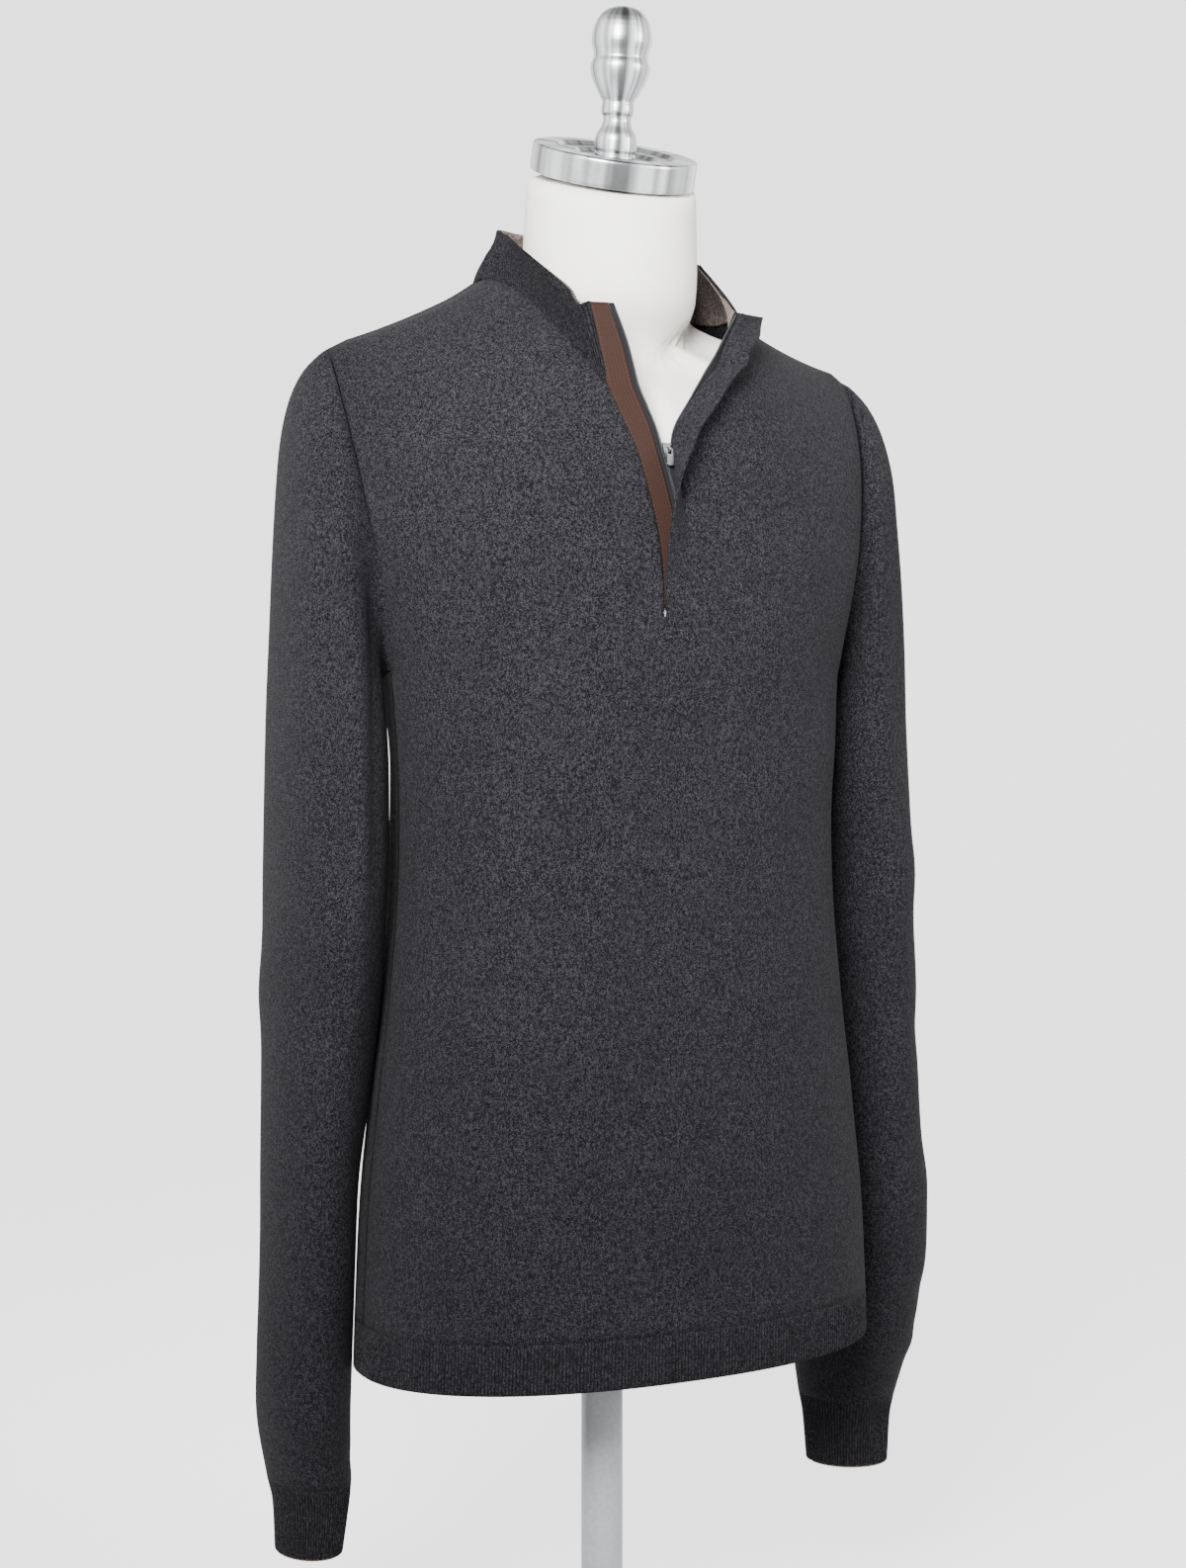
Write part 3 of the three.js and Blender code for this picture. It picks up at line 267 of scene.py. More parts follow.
def smooth_rows(rows, step):
    """Rows of points with new ones between them, on cubics through the rows, about a step apart."""
    keys = run(rows.mean(1))
    fine = [np.linspace(a, b, max(2, int(math.ceil((b - a) / step)) + 1))[:-1] for a, b in zip(keys, keys[1:])]
    at = np.concatenate([*fine, keys[-1:]])
    last = len(keys) - 1
    low, high = np.maximum(np.arange(last + 1) - 1, 0), np.minimum(np.arange(last + 1) + 1, last)
    slope = (rows[high] - rows[low]) / (keys[high] - keys[low])[:, None, None]
    i = np.clip(np.searchsorted(keys, at, side="right") - 1, 0, last - 1)
    gap = (keys[i + 1] - keys[i])[:, None, None]
    t = ((at - keys[i])[:, None, None]) / gap
    rise = gap * t * (1 - t) * ((1 - t) * slope[i] - t * slope[i + 1])
    return rows[i] + (rows[i + 1] - rows[i]) * t * t * (3 - 2 * t) + rise


def folds(a, b, table_rows, turn=False):
    """Soft folds: each is a ridge or hollow exp(-(distance/width)^2) along a line, that fades at
    both ends. On a sleeve the first coordinate is an angle, taken as 0.9 mm to the degree."""
    total = np.zeros_like(a)
    scale = 0.9 if turn else 1.0
    for a0, b0, a1, b1, wide, deep in table_rows:
        line = np.array([(a1 - a0) * scale, b1 - b0], float)
        length = np.hypot(*line)
        along = ((a - a0) * scale * line[0] + (b - b0) * line[1]) / length**2
        away = ((a - a0) * scale * line[1] - (b - b0) * line[0]) / length
        ends = smooth((along + 0.35) / 0.5) * smooth((1.35 - along) / 0.5)
        total += deep * np.exp(-((away / wide) ** 2)) * ends
    return total


def lay_grid(name, points, uv=None, closed=False, skip=None, flip=False):
    """A mesh with a four-cornered face between each point of a grid and its neighbours, and a UV
    map in metres. A closed grid joins its last column to its first."""
    rows, width = points.shape[:2]
    r, c = np.meshgrid(np.arange(rows - 1), np.arange(width if closed else width - 1), indexing="ij")
    corners = [(r, c), (r, c + 1), (r + 1, c + 1), (r + 1, c)]
    if flip:
        corners.reverse()
    keep = np.ones(r.shape, bool) if skip is None else ~skip
    quads = np.stack([a * width + b % width for a, b in corners], -1)[keep].reshape(-1, 4)
    used, index = np.unique(quads, return_inverse=True)
    mesh = bpy.data.meshes.new(name)
    mesh.from_pydata((points.reshape(-1, 3)[used] * MM).tolist(), [], index.reshape(-1, 4).tolist())
    if uv is not None:
        wide = uv.shape[1]
        at = np.stack([a * wide + b for a, b in corners], -1)[keep].ravel()
        layer = mesh.uv_layers.new(name="cloth")
        layer.data.foreach_set("uv", (uv.reshape(-1, 2)[at] * MM).astype(np.float32).ravel())
    mesh.shade_smooth()
    return mesh


def show(name, mesh, material, body=BODY, replaces=()):
    """Puts a mesh in the scene as a piece that rides on a body."""
    obj = bpy.data.objects.new(name, mesh)
    bpy.context.scene.collection.objects.link(obj)
    mesh.materials.clear()
    mesh.materials.append(material)
    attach(obj, body)
    if replaces:
        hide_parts(*replaces)
    return obj


def thicken(obj, thick, rim=0.0):
    """Gives a cloth its thickness on the inner side, and rounds its cut edge."""
    wall = obj.modifiers.new("cloth wall", "SOLIDIFY")
    wall.thickness, wall.offset, wall.use_even_offset = thick * MM, -1, False
    if rim:
        edge = obj.modifiers.new("rounded edge", "BEVEL")
        edge.width, edge.segments, edge.limit_method = rim * MM, 2, "ANGLE"
        edge.angle_limit = math.radians(60)
    return obj


def grid_uv(points, closed=False, middle=None, reference=None):
    """Cloth coordinates of a grid: the way along a reference row, and the mean way up the columns."""
    if closed:
        points = np.concatenate([points, points[:, :1]], 1)
    row = points[len(points) // 2 if reference is None else reference]
    u = run(row)
    u = u - (np.interp(middle, np.arange(len(u)), u) if middle is not None else u[-1] / 2)
    v = run(points).mean(1)
    return np.stack(np.broadcast_arrays(u[None, :], v[:, None]), -1)


def panel_columns(step=2.6):
    """Columns of a panel, evenly spaced round its rounded section, with one at each neck point."""
    halves = []
    for hand in ("right", "left"):
        inner = math.acos(PLACKET_ACROSS ** (SECTION_POWER / 2))
        neck = math.acos(NECK_ACROSS[hand] ** (SECTION_POWER / 2))
        turn = np.concatenate([np.linspace(0, neck, 46)[:-1], np.linspace(neck, inner, 34)])
        halves.append(np.cos(turn) ** (2 / SECTION_POWER))
    return -halves[0], halves[1][::-1]


def panel_grid(side):
    """A whole panel from the hem rib to the neckline and shoulders: level rows up to the underarm,
    then rows by share of the height. Returns its points, its row of the placket's foot and more."""
    right, left = panel_columns()
    middle = [] if side == "front" else np.linspace(-PLACKET_ACROSS, PLACKET_ACROSS, 7)[1:-1]
    across = np.concatenate([right, middle, left])
    trunk = trunk_point(across[None, :], np.linspace(HEM_Z + HEM_RIB, UNDERARM_Z, 84)[:-1, None], side)
    foot = (1 - math.cos(math.pi * PLACKET_ROW / YOKE_ROWS)) / 2
    share = np.concatenate([np.linspace(0, foot, 11)[:-1], np.linspace(foot, 1, 48)])
    shift = np.clip(YOKE_ROWS * np.arccos(1 - 2 * share) / np.pi - PLACKET_ROW + 1, 0, 1)
    yoke = yoke_point(across[None, :], share[:, None] * yoke_top(across, side), side, shift[:, None])
    points = np.concatenate([trunk, yoke])
    return points, len(trunk) + 10, len(right) - 1, across


def edge_fade(points, reach=16.0):
    """0 on the edge of a grid and 1 a short way in, so that folds leave the seams where they are."""
    up, across = run(points), run(points, 1)
    inside = np.minimum(np.minimum(up, up[-1:] - up), np.minimum(across, across[:, -1:] - across))
    return smooth(inside / reach)


def front_grid():
    """The front panel with its folds; beside the placket they fade too."""
    points, foot, at, across = panel_grid("front")
    normals = grid_normals(points)
    beside = np.minimum(np.abs(points[..., 0] - points[:, at : at + 1, 0]),
                        np.abs(points[..., 0] - points[:, at + 1 : at + 2, 0]))
    rows = np.arange(len(points))[:, None]
    fade = edge_fade(points) * np.where(rows >= foot - 6, smooth(beside / 10), 1)
    lift = folds(points[..., 0], points[..., 2], BODY_FOLDS["front"]) * fade
    return points + normals * lift[..., None], foot, at


def back_grid():
    """The back panel with its folds."""
    points, foot, at, across = panel_grid("back")
    normals = grid_normals(points, flip=True)
    lift = folds(points[..., 0], points[..., 2], BODY_FOLDS["back"]) * edge_fade(points)
    return points + normals * lift[..., None]


def hem_ring(z):
    """One level ring of the body: the front from right to left, then the back the other way."""
    turn = np.linspace(0, np.pi, 1441)
    across = np.sign(-np.cos(turn)) * np.abs(np.cos(turn)) ** (2 / SECTION_POWER)
    front = trunk_point(across, z, "front")
    back = trunk_point(across[::-1], z, "back")
    return np.concatenate([front, back[1:-1]])


def sleeve_ring(hand, outer, inner, y, deep, turn):
    """An oval between an outer and an inner point, that starts at the inner one."""
    way = -1 if hand == "right" else 1
    x, z = (outer[0] + inner[0]) / 2, (outer[1] + inner[1]) / 2
    out = np.cos(turn)
    return stack(way * (x + (outer[0] - x) * out), y - deep * np.sin(turn), z + (outer[1] - z) * out)


def arm_ring(hand, rows, z, turn):
    """The oval of an arm's section at a height."""
    x, y, thick, deep = (column(rows, "z", name, z) for name in ("x", "y", "thick", "deep"))
    return sleeve_ring(hand, (x + thick, z), (x - thick, z), y, deep, turn)


def sleeve_grid(hand, columns=190):
    """A sleeve from its armhole to the cuff: the armhole ring is the panels' own edge, and the ovals
    below settle from it over five rows. Cubics join the rows."""
    turn = np.linspace(-np.pi, np.pi, columns + 1)[:-1]
    edge, share = (-1.0 if hand == "right" else 1.0), (1 + np.cos(turn)) / 2
    first = np.where(
        (turn > 0)[:, None], yoke_point(edge, share, "front"), yoke_point(edge, share, "back")
    )
    head = [
        sleeve_ring(hand, (ox, oz), (ix, iz), y, deep, turn)
        for ox, oz, ix, iz, y, deep in zip(*(SLEEVE_HEAD[n] for n in "outerX outerZ innerX innerZ y deep".split()))
    ]
    start = first - head[0]
    settled = [ring + start * max(0, 1 - (r + 1) / 5) ** 2 for r, ring in enumerate(head)]
    arm = SLEEVE_ARMS[hand]
    steps = int((arm["z"][0] - arm["z"][-1]) // 40)
    rings = [arm_ring(hand, arm, z, turn) for z in np.linspace(arm["z"][0], arm["z"][-1], steps + 1)]
    points = smooth_rows(np.stack([first, *settled, *rings]), 5.0)
    normals = grid_normals(points, closed=True, flip=hand == "right")
    at = run(points)
    fade = smooth(at / 20) * smooth((at[-1:] - at) / 14)
    lift = folds(np.degrees(turn)[None, :] + 0 * points[..., 0], points[..., 2], SLEEVE_FOLDS[hand], turn=True)
    return points + normals * (lift * fade)[..., None]


def ribbed(points, normals, along, pitch, high):
    """Ribs: each point moves out by half the height times the cosine of its place along the row."""
    wave = np.cos(2 * np.pi * along / pitch)
    wave = np.sign(wave) * np.abs(wave) ** 0.7
    return points + normals * (0.5 * high * (wave - 1))[..., None]


def whole_pitch(length, pitch):
    """The pitch nearest to the given one that fits the length a whole number of times."""
    return length / max(1, round(length / pitch))


def cuff_grid(hand, pitch):
    """A ribbed cuff: ovals down to its open end, with the ribs standing out of them."""
    rows = CUFFS[hand]
    count = 6 * round(2 * np.pi * math.sqrt((rows["thick"][1] ** 2 + rows["deep"][1] ** 2) / 2) / pitch)
    turn = np.linspace(-np.pi, np.pi, count + 1)[:-1]
    points = np.stack([arm_ring(hand, rows, z, turn) for z in np.linspace(rows["z"][0], rows["z"][-1], 16)])
    normals = grid_normals(points, closed=True, flip=hand == "right")
    phase = np.arange(count)[None, :] / 6 * pitch + 0 * points[..., 0]
    deep = 0.7 * smooth(run(points) / 4)
    uv = np.stack(np.broadcast_arrays(np.arange(count + 1)[None, :] / 6 * pitch, run(points).mean(1)[:, None]), -1)
    return ribbed(points, normals, phase, pitch, 1.0 * deep), uv


def neckline(turn):
    """The seam of the collar and the body, from the right front edge round the back to the left, and
    the points just below it, by share of the way."""
    below = (1 - math.cos(math.pi * (YOKE_ROWS - 1) / YOKE_ROWS)) / 2
    parts = (
        ("front", -1, np.interp(turn, [0, 0.25], [PLACKET_ACROSS, NECK_ACROSS["right"]])),
        ("back", -1, np.interp(turn, [0.25, 0.5], [NECK_ACROSS["right"], 1e-6])),
        ("back", 1, np.interp(turn, [0.5, 0.75], [1e-6, NECK_ACROSS["left"]])),
        ("front", 1, np.interp(turn, [0.75, 1], [NECK_ACROSS["left"], PLACKET_ACROSS])),
    )
    pick = np.clip((turn * 4).astype(int), 0, 3)
    base, under = np.zeros((len(turn), 3)), np.zeros((len(turn), 3))
    for k, (side, sign, across) in enumerate(parts):
        top = yoke_top(sign * across, side)
        here = pick == k
        base[here] = yoke_point(sign * across, top, side, 1.0)[here]
        under[here] = yoke_point(sign * across, below * top, side, 1.0)[here]
    return base, under


def collar_rows(turn, rows):
    """The stand collar: quadratic arcs from the neckline to the top edge. Each leaves in the
    direction of the cloth below it, turned up."""
    base, under = neckline(turn)
    top = stack(*(column(COLLAR_TOP, "turn", name, turn) for name in "xyz"))
    leave = base - under
    leave /= np.linalg.norm(leave, axis=1, keepdims=True)
    reach = max(1, len(turn) // 30)
    padded = np.concatenate([np.repeat(leave[:1], reach, 0), leave, np.repeat(leave[-1:], reach, 0)])
    total = np.cumsum(np.concatenate([np.zeros((1, 3)), padded]), 0)
    leave = total[2 * reach + 1 :] - total[: -2 * reach - 1] if reach else leave
    leave = leave / np.linalg.norm(leave, axis=1, keepdims=True) + np.array([0, 0, 0.9])
    leave /= np.linalg.norm(leave, axis=1, keepdims=True)
    bend = base + leave * np.linalg.norm(top - base, axis=1, keepdims=True) * 0.3
    h = np.linspace(0, 1, rows)[:, None, None]
    return base * (1 - h) ** 2 + bend * 2 * h * (1 - h) + top * h * h


def even_turns(pitch, per_rib=6):
    """Shares of the way round the collar that are even along its middle row, and the rib pitch."""
    turn = np.linspace(0, 1, 1201)
    at = run(collar_rows(turn, 3)[1])
    ribs = round(at[-1] / pitch)
    even = np.linspace(0, at[-1], ribs * per_rib + 1)
    return np.interp(even, at, turn), even, at[-1] / ribs


def front_edge(hand, step=3.0):
    """A front edge from the placket's foot to the collar's top: its points, the normals of the
    cloth, the directions along it and across into the opening."""
    points, foot, at, _ = panel_grid("front")
    column_at = at if hand == "right" else at + 1
    collar = collar_rows(np.linspace(0, 1, 241), 12)
    collar_normals = grid_normals(collar, flip=True)
    end = 0 if hand == "right" else -1
    path = np.concatenate([points[foot:, column_at], collar[1:, end]])
    inner = 3 if hand == "right" else -4
    normals = np.concatenate([grid_normals(points)[foot:, at - 2 if hand == "right" else at + 3],
                              collar_normals[1:, inner]])
    path, normals = resampled(path, normals, step=step)
    for _ in range(6):
        normals[1:-1] = (normals[:-2] + normals[1:-1] + normals[2:]) / 3
    normals /= np.linalg.norm(normals, axis=1, keepdims=True)
    along = np.gradient(path, axis=0)
    along -= normals * (along * normals).sum(1, keepdims=True)
    along /= np.linalg.norm(along, axis=1, keepdims=True)
    into = np.cross(along, normals) * (1 if hand == "right" else -1)
    return path, normals, along, into


def level_row(path, x):
    """Points at the same height as the edge and at another x, on the same rounding of the chest."""
    front = float(column(BODY_SECTIONS, "z", "front", UNDERARM_Z))
    turn = lambda at: front * (bulge(at / SHOULDER_TIP_X) - 1)
    return stack(x, path[:, 1] + turn(x) - turn(path[:, 0]), path[:, 2])


def fly_grid(columns=21):
    """The fly: from just inside the left edge it bends in a small roll to the angle of its height,
    angle * smooth(t / 0.14), and goes straight on to its free edge. Its foot is carried down."""
    path, normals, along, into = front_edge("left")
    low = np.arange(-3, 0)[:, None] * 3.0
    path = np.concatenate([path[:1] + along[:1] * low, path])
    normals, along, into = (np.concatenate([np.repeat(a[:1], 3, 0), a]) for a in (normals, along, into))
    turn = np.radians(column(FLY_TURNS, "z", "turn", path[:, 2]))[:, None, None]
    t = np.concatenate([np.linspace(0, 0.14, 8)[:-1], np.linspace(0.14, 1, columns - 7)])
    bend = turn * smooth(t / 0.14)[None, :, None]
    step = np.diff(t, prepend=0)[None, :, None] * FLY_WIDTH
    way = into[:, None] * np.cos(bend) + normals[:, None] * np.sin(bend)
    reach = column(FLY_TURNS, "z", "along", path[:, 2])[:, None, None]
    lift = 0.12 - 0.1 * np.clip(t / 0.1, 0, 1)[None, :, None]
    root = (path - into * 0.9)[:, None] + normals[:, None] * lift
    points = root + np.cumsum(way * step, 1) + along[:, None] * reach * t[None, :, None]
    return points[:, ::-1]


def tube(path, normals, radius, sides=6):
    """A round cord along a path: rings of points round it, drawn in to a point at both ends."""
    along = np.gradient(path, axis=0)
    along /= np.linalg.norm(along, axis=1, keepdims=True)
    side = np.cross(along, normals)
    side /= np.linalg.norm(side, axis=1, keepdims=True)
    up = np.cross(side, along)
    turn = np.linspace(0, 2 * np.pi, sides + 1)[:-1]
    size = np.full(len(path), radius, float)
    size[[0, -1]] = 0.02
    ring = side[:, None] * np.cos(turn)[None, :, None] + up[:, None] * np.sin(turn)[None, :, None]
    return path[:, None] + ring * size[:, None, None]


def bead_shape(rings=3, sides=6):
    """A small rounded bead of a few dozen faces, one across each way: two poles with rings between."""
    lat = np.linspace(-np.pi / 2, np.pi / 2, rings + 2)[1:-1]
    turn = np.linspace(0, 2 * np.pi, sides + 1)[:-1]
    ring = stack(np.sign(np.sin(lat))[:, None] * np.abs(np.sin(lat))[:, None] ** 0.6 + 0 * turn,
                 np.cos(lat)[:, None] ** 0.6 * np.cos(turn), np.cos(lat)[:, None] ** 0.6 * np.sin(turn))
    points = np.concatenate([[[-1, 0, 0]], ring.reshape(-1, 3), [[1, 0, 0]]]) / 2
    faces = []
    for k in range(sides):
        n = (k + 1) % sides
        faces.append((0, 1 + n, 1 + k))
        faces += [(1 + r * sides + k, 1 + r * sides + n, 1 + (r + 1) * sides + n, 1 + (r + 1) * sides + k)
                  for r in range(rings - 1)]
        last = 1 + (rings - 1) * sides
        faces.append((len(points) - 1, last + k, last + n))
    return points, faces


def beads(name, path, normals, pitch, size, slant=0.0):
    """Beads along a path at an even pitch. size is how long each is along it, across it and out of
    the cloth, and slant turns it in the cloth's plane by that many degrees."""
    length = run(path)[-1]
    path, normals = resampled(path, normals, step=length / max(1, round(length / pitch)))
    along = np.gradient(path, axis=0)
    along /= np.linalg.norm(along, axis=1, keepdims=True)
    normals = normals / np.linalg.norm(normals, axis=1, keepdims=True)
    across = np.cross(normals, along)
    c, s = math.cos(math.radians(slant)), math.sin(math.radians(slant))
    axes = np.stack([along * c + across * s, across * c - along * s, normals], 1)
    shape, faces = bead_shape()
    placed = path[:, None] + np.einsum("vk,nkj->nvj", shape * np.array(size, float), axes)
    shift = (np.arange(len(path)) * len(shape))[:, None]
    triangles = np.array([f for f in faces if len(f) == 3])
    quads = np.array([f for f in faces if len(f) == 4])
    every = [(t.reshape(1, *t.shape) + shift[..., None]).reshape(-1, t.shape[1]).tolist() for t in (triangles, quads)]
    mesh = bpy.data.meshes.new(name)
    mesh.from_pydata((placed.reshape(-1, 3) * MM).tolist(), [], every[0] + every[1])
    mesh.shade_smooth()
    return mesh


def mended(mesh, distance=0.02, outwards=True):
    """Joins the points of a mesh that lie together and turns its faces outwards."""
    work = bmesh.new()
    work.from_mesh(mesh)
    bmesh.ops.remove_doubles(work, verts=work.verts, dist=distance * MM)
    bmesh.ops.dissolve_degenerate(work, edges=work.edges, dist=distance * MM * 0.5)
    if outwards:
        bmesh.ops.recalc_face_normals(work, faces=work.faces)
    work.to_mesh(mesh)
    work.free()
    return mesh


def node_copy(node):
    """A joined copy of a solid of the frame, with its flat faces made whole."""
    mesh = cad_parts[node].data.copy()
    mesh.name = node + "_fine"
    work = bmesh.new()
    work.from_mesh(mesh)
    bmesh.ops.remove_doubles(work, verts=work.verts, dist=1e-6)
    work.to_mesh(mesh)
    work.free()
    return mesh


def lathe(profile, foot, tilt, foot_tilt, sides=128):
    """A turned piece: circles of the profile's radii along an axis that leans forwards. Points are
    foot + axis * height + radius * (cos, sin) in a plane that leans too."""
    radius, height = np.array(profile, float).T
    lean = foot_tilt + (tilt - foot_tilt) * smooth(height / 12)
    turn = np.linspace(0, 2 * np.pi, sides + 1)[:-1]
    axis = np.array([0, -math.sin(tilt), math.cos(tilt)])
    flat = stack(radius[:, None] * np.cos(turn), radius[:, None] * np.sin(turn) * np.cos(lean)[:, None],
                 radius[:, None] * np.sin(turn) * np.sin(lean)[:, None])
    return flat + (np.array(foot, float) + height[:, None] * axis)[:, None]


def rounded_profile(points, step=0.8):
    """A profile through corner points with each corner cut by a small curve."""
    points = np.array(points, float)
    fine = resampled(points, step=step)
    for _ in range(2):
        fine[1:-1] = (fine[:-2] + 2 * fine[1:-1] + fine[2:]) / 4
    return fine


class Nodes:
    """Adds nodes to a tree. A value that is a socket is linked, and any other is set."""

    def __init__(self, tree):
        self.tree = tree

    def add(self, kind, inputs=None, **settings):
        node = self.tree.nodes.new(kind)
        for name, value in settings.items():
            setattr(node, name, value)
        for name, value in (inputs or {}).items():
            self.put(node.inputs[name], value)
        return node

    def put(self, socket, value):
        if isinstance(value, bpy.types.NodeSocket):
            self.tree.links.new(value, socket)
        else:
            socket.default_value = value

    def math(self, operation, *values):
        node = self.tree.nodes.new("ShaderNodeMath")
        node.operation = operation
        for socket, value in zip(node.inputs, values):
            self.put(socket, value)
        return node.outputs[0]

    def mix(self, factor, a, b, blend="MIX"):
        node = self.tree.nodes.new("ShaderNodeMix")
        node.data_type, node.blend_type = "RGBA", blend
        for index, value in ((0, factor), (6, a), (7, b)):
            self.put(node.inputs[index], value)
        return node.outputs[2]

    def noise(self, vector, scale, detail=2.0, roughness=0.5):
        node = self.add("ShaderNodeTexNoise", {"Vector": vector, "Scale": scale, "Detail": detail,
                                               "Roughness": roughness})
        return node.outputs[0]


def group(name, inputs, outputs):
    """A new shader node group with named sockets, and its helper, input and output nodes."""
    tree = bpy.data.node_groups.new(name, "ShaderNodeTree")
    for (label, kind, default) in inputs:
        socket = tree.interface.new_socket(name=label, in_out="INPUT", socket_type="NodeSocket" + kind)
        if default is not None:
            socket.default_value = default
    for label, kind in outputs:
        tree.interface.new_socket(name=label, in_out="OUTPUT", socket_type="NodeSocket" + kind)
    nodes = Nodes(tree)
    return tree, nodes, nodes.add("NodeGroupInput"), nodes.add("NodeGroupOutput")


def knit_group():
    """Plain knit: each wale has two slanting legs, and each course repeats them. Its Shade is painted light and shade:
    lighter where the loops stand high and darker in the hollows between them.
    """
    tree, n, start, end = group(
        "Knit loops",
        [("UV", "Vector", None), ("Wale", "Float", 0.0016), ("Course", "Float", 0.0012)],
        [("Height", "Float"), ("Shade", "Float")],
    )
    split = n.add("ShaderNodeSeparateXYZ", {0: start.outputs["UV"]})
    x = n.math("FRACT", n.math("DIVIDE", split.outputs[0], start.outputs["Wale"]))
    side = n.math("MULTIPLY", n.math("ABSOLUTE", n.math("SUBTRACT", x, 0.5)), 2.0)
    leg = n.math("SUBTRACT", 1.0, n.math("ABSOLUTE", n.math("SUBTRACT", n.math("MULTIPLY", side, 2.0), 1.0)))
    up = n.math("SUBTRACT", n.math("DIVIDE", split.outputs[1], start.outputs["Course"]),
                n.math("MULTIPLY", side, 0.6))
    wave = n.math("MULTIPLY_ADD", n.math("SINE", n.math("MULTIPLY", up, 2 * math.pi)), 0.5, 0.5)
    height = n.math("MULTIPLY", n.math("POWER", leg, 0.6), n.math("MULTIPLY_ADD", wave, 0.5, 0.5))
    n.put(end.inputs["Height"], height)
    # Shade: painted light and shade, 0.45 to 1.2 times the colour, following the loops' height
    n.put(end.inputs["Shade"], n.math("MULTIPLY_ADD", height, 0.75, 0.45))
    return tree


def melange_group():
    """Mixed wool: light and dark fibres as flecks of two sizes, with soft cloudy patches."""
    tree, n, start, end = group(
        "Mixed wool",
        [("Place", "Vector", None), ("Dark", "Color", (0.02, 0.02, 0.025, 1)),
         ("Light", "Color", (0.12, 0.12, 0.13, 1)), ("Fleck size", "Float", 0.0016)],
        [("Color", "Color"), ("Fuzz", "Float")],
    )
    stretch = n.add("ShaderNodeVectorMath", {0: start.outputs["Place"], 1: (1.0, 1.0, 0.72)}, operation="MULTIPLY")
    scale = n.math("DIVIDE", 1.0, start.outputs["Fleck size"])
    fine = n.noise(stretch.outputs[0], scale, 3.0, 0.65)
    large = n.noise(stretch.outputs[0], n.math("MULTIPLY", scale, 0.34), 2.0, 0.6)
    cloud = n.noise(start.outputs["Place"], 16.0, 2.0, 0.5)
    both = n.math("ADD", n.math("MULTIPLY", fine, 0.74), n.math("MULTIPLY", large, 0.26))
    fleck = n.add("ShaderNodeMapRange", {0: both, 1: 0.44, 2: 0.615}, interpolation_type="SMOOTHSTEP")
    worn = n.math("MULTIPLY_ADD", cloud, 0.30, 0.85)
    mixed = n.mix(fleck.outputs[0], start.outputs["Dark"], start.outputs["Light"])
    grey = n.add("ShaderNodeCombineColor", {0: worn, 1: worn, 2: worn})
    n.put(end.inputs["Color"], n.mix(1.0, mixed, grey.outputs[0], "MULTIPLY"))
    n.put(end.inputs["Fuzz"], fine)
    return tree


def weave_group():
    """Plain weave: threads over and under along both cloth coordinates."""
    tree, n, start, end = group(
        "Plain weave",
        [("UV", "Vector", None), ("Warp", "Float", 0.0006), ("Weft", "Float", 0.0009)],
        [("Height", "Float")],
    )
    split = n.add("ShaderNodeSeparateXYZ", {0: start.outputs["UV"]})
    a = n.math("SINE", n.math("MULTIPLY", n.math("DIVIDE", split.outputs[0], start.outputs["Warp"]), 2 * math.pi))
    b = n.math("SINE", n.math("MULTIPLY", n.math("DIVIDE", split.outputs[1], start.outputs["Weft"]), 2 * math.pi))
    n.put(end.inputs["Height"], n.math("MULTIPLY_ADD", n.math("ADD", n.math("ABSOLUTE", a), n.math("ABSOLUTE", b)),
                                      0.4, 0.1))
    return tree


def turned_group():
    """Turned metal: fine rings round the axis, soft smears of dullness, a few fine marks, and light and dark bands
    round the axis that stand in for reflections: a painted reflection.
    """
    tree, n, start, end = group(
        "Turned metal",
        [("UV", "Vector", None), ("Place", "Vector", None), ("Rings", "Float", 900.0)],
        [("Height", "Float"), ("Dull", "Float"), ("Tone", "Float"), ("Painted reflection", "Float")],
    )
    split = n.add("ShaderNodeSeparateXYZ", {0: start.outputs["UV"]})
    ring = n.add("ShaderNodeCombineXYZ", {1: n.math("MULTIPLY", split.outputs[1], start.outputs["Rings"])})
    lines = n.noise(ring.outputs[0], 1.0, 3.0, 0.7)
    round_it = n.add("ShaderNodeCombineXYZ", {0: n.math("MULTIPLY", split.outputs[0], 75.0)})
    painted_reflection = n.noise(round_it.outputs[0], 1.0, 2.0, 0.6)
    smear = n.noise(start.outputs["Place"], 70.0, 3.0, 0.6)
    grain = n.noise(start.outputs["Place"], 900.0, 2.0, 0.6)
    n.put(end.inputs["Height"], n.math("ADD", n.math("MULTIPLY", lines, 0.7), n.math("MULTIPLY", grain, 0.3)))
    n.put(end.inputs["Dull"], n.math("MULTIPLY_ADD", smear, 0.22, n.math("MULTIPLY_ADD", lines, 0.12, 0.12)))
    n.put(end.inputs["Tone"], n.math("MULTIPLY_ADD", n.math("ADD", n.math("MULTIPLY", smear, 0.6),
                                                           n.math("MULTIPLY", grain, 0.4)), 0.5, 0.72))
    # Painted reflection: bands round the axis that scale the colour from 0.3 to 1.75 times
    band = n.add("ShaderNodeMapRange", {0: painted_reflection, 1: 0.38, 2: 0.62, 3: 0.3, 4: 1.75}, interpolation_type="SMOOTHSTEP")
    n.put(end.inputs["Painted reflection"], band.outputs[0])
    return tree


GROUPS = {}


def shared(name):
    """A node group by its short name, made the first time it is asked for."""
    makers = {"knit": knit_group, "melange": melange_group, "weave": weave_group, "turned": turned_group}
    if name not in GROUPS:
        GROUPS[name] = makers[name]()
    return GROUPS[name]


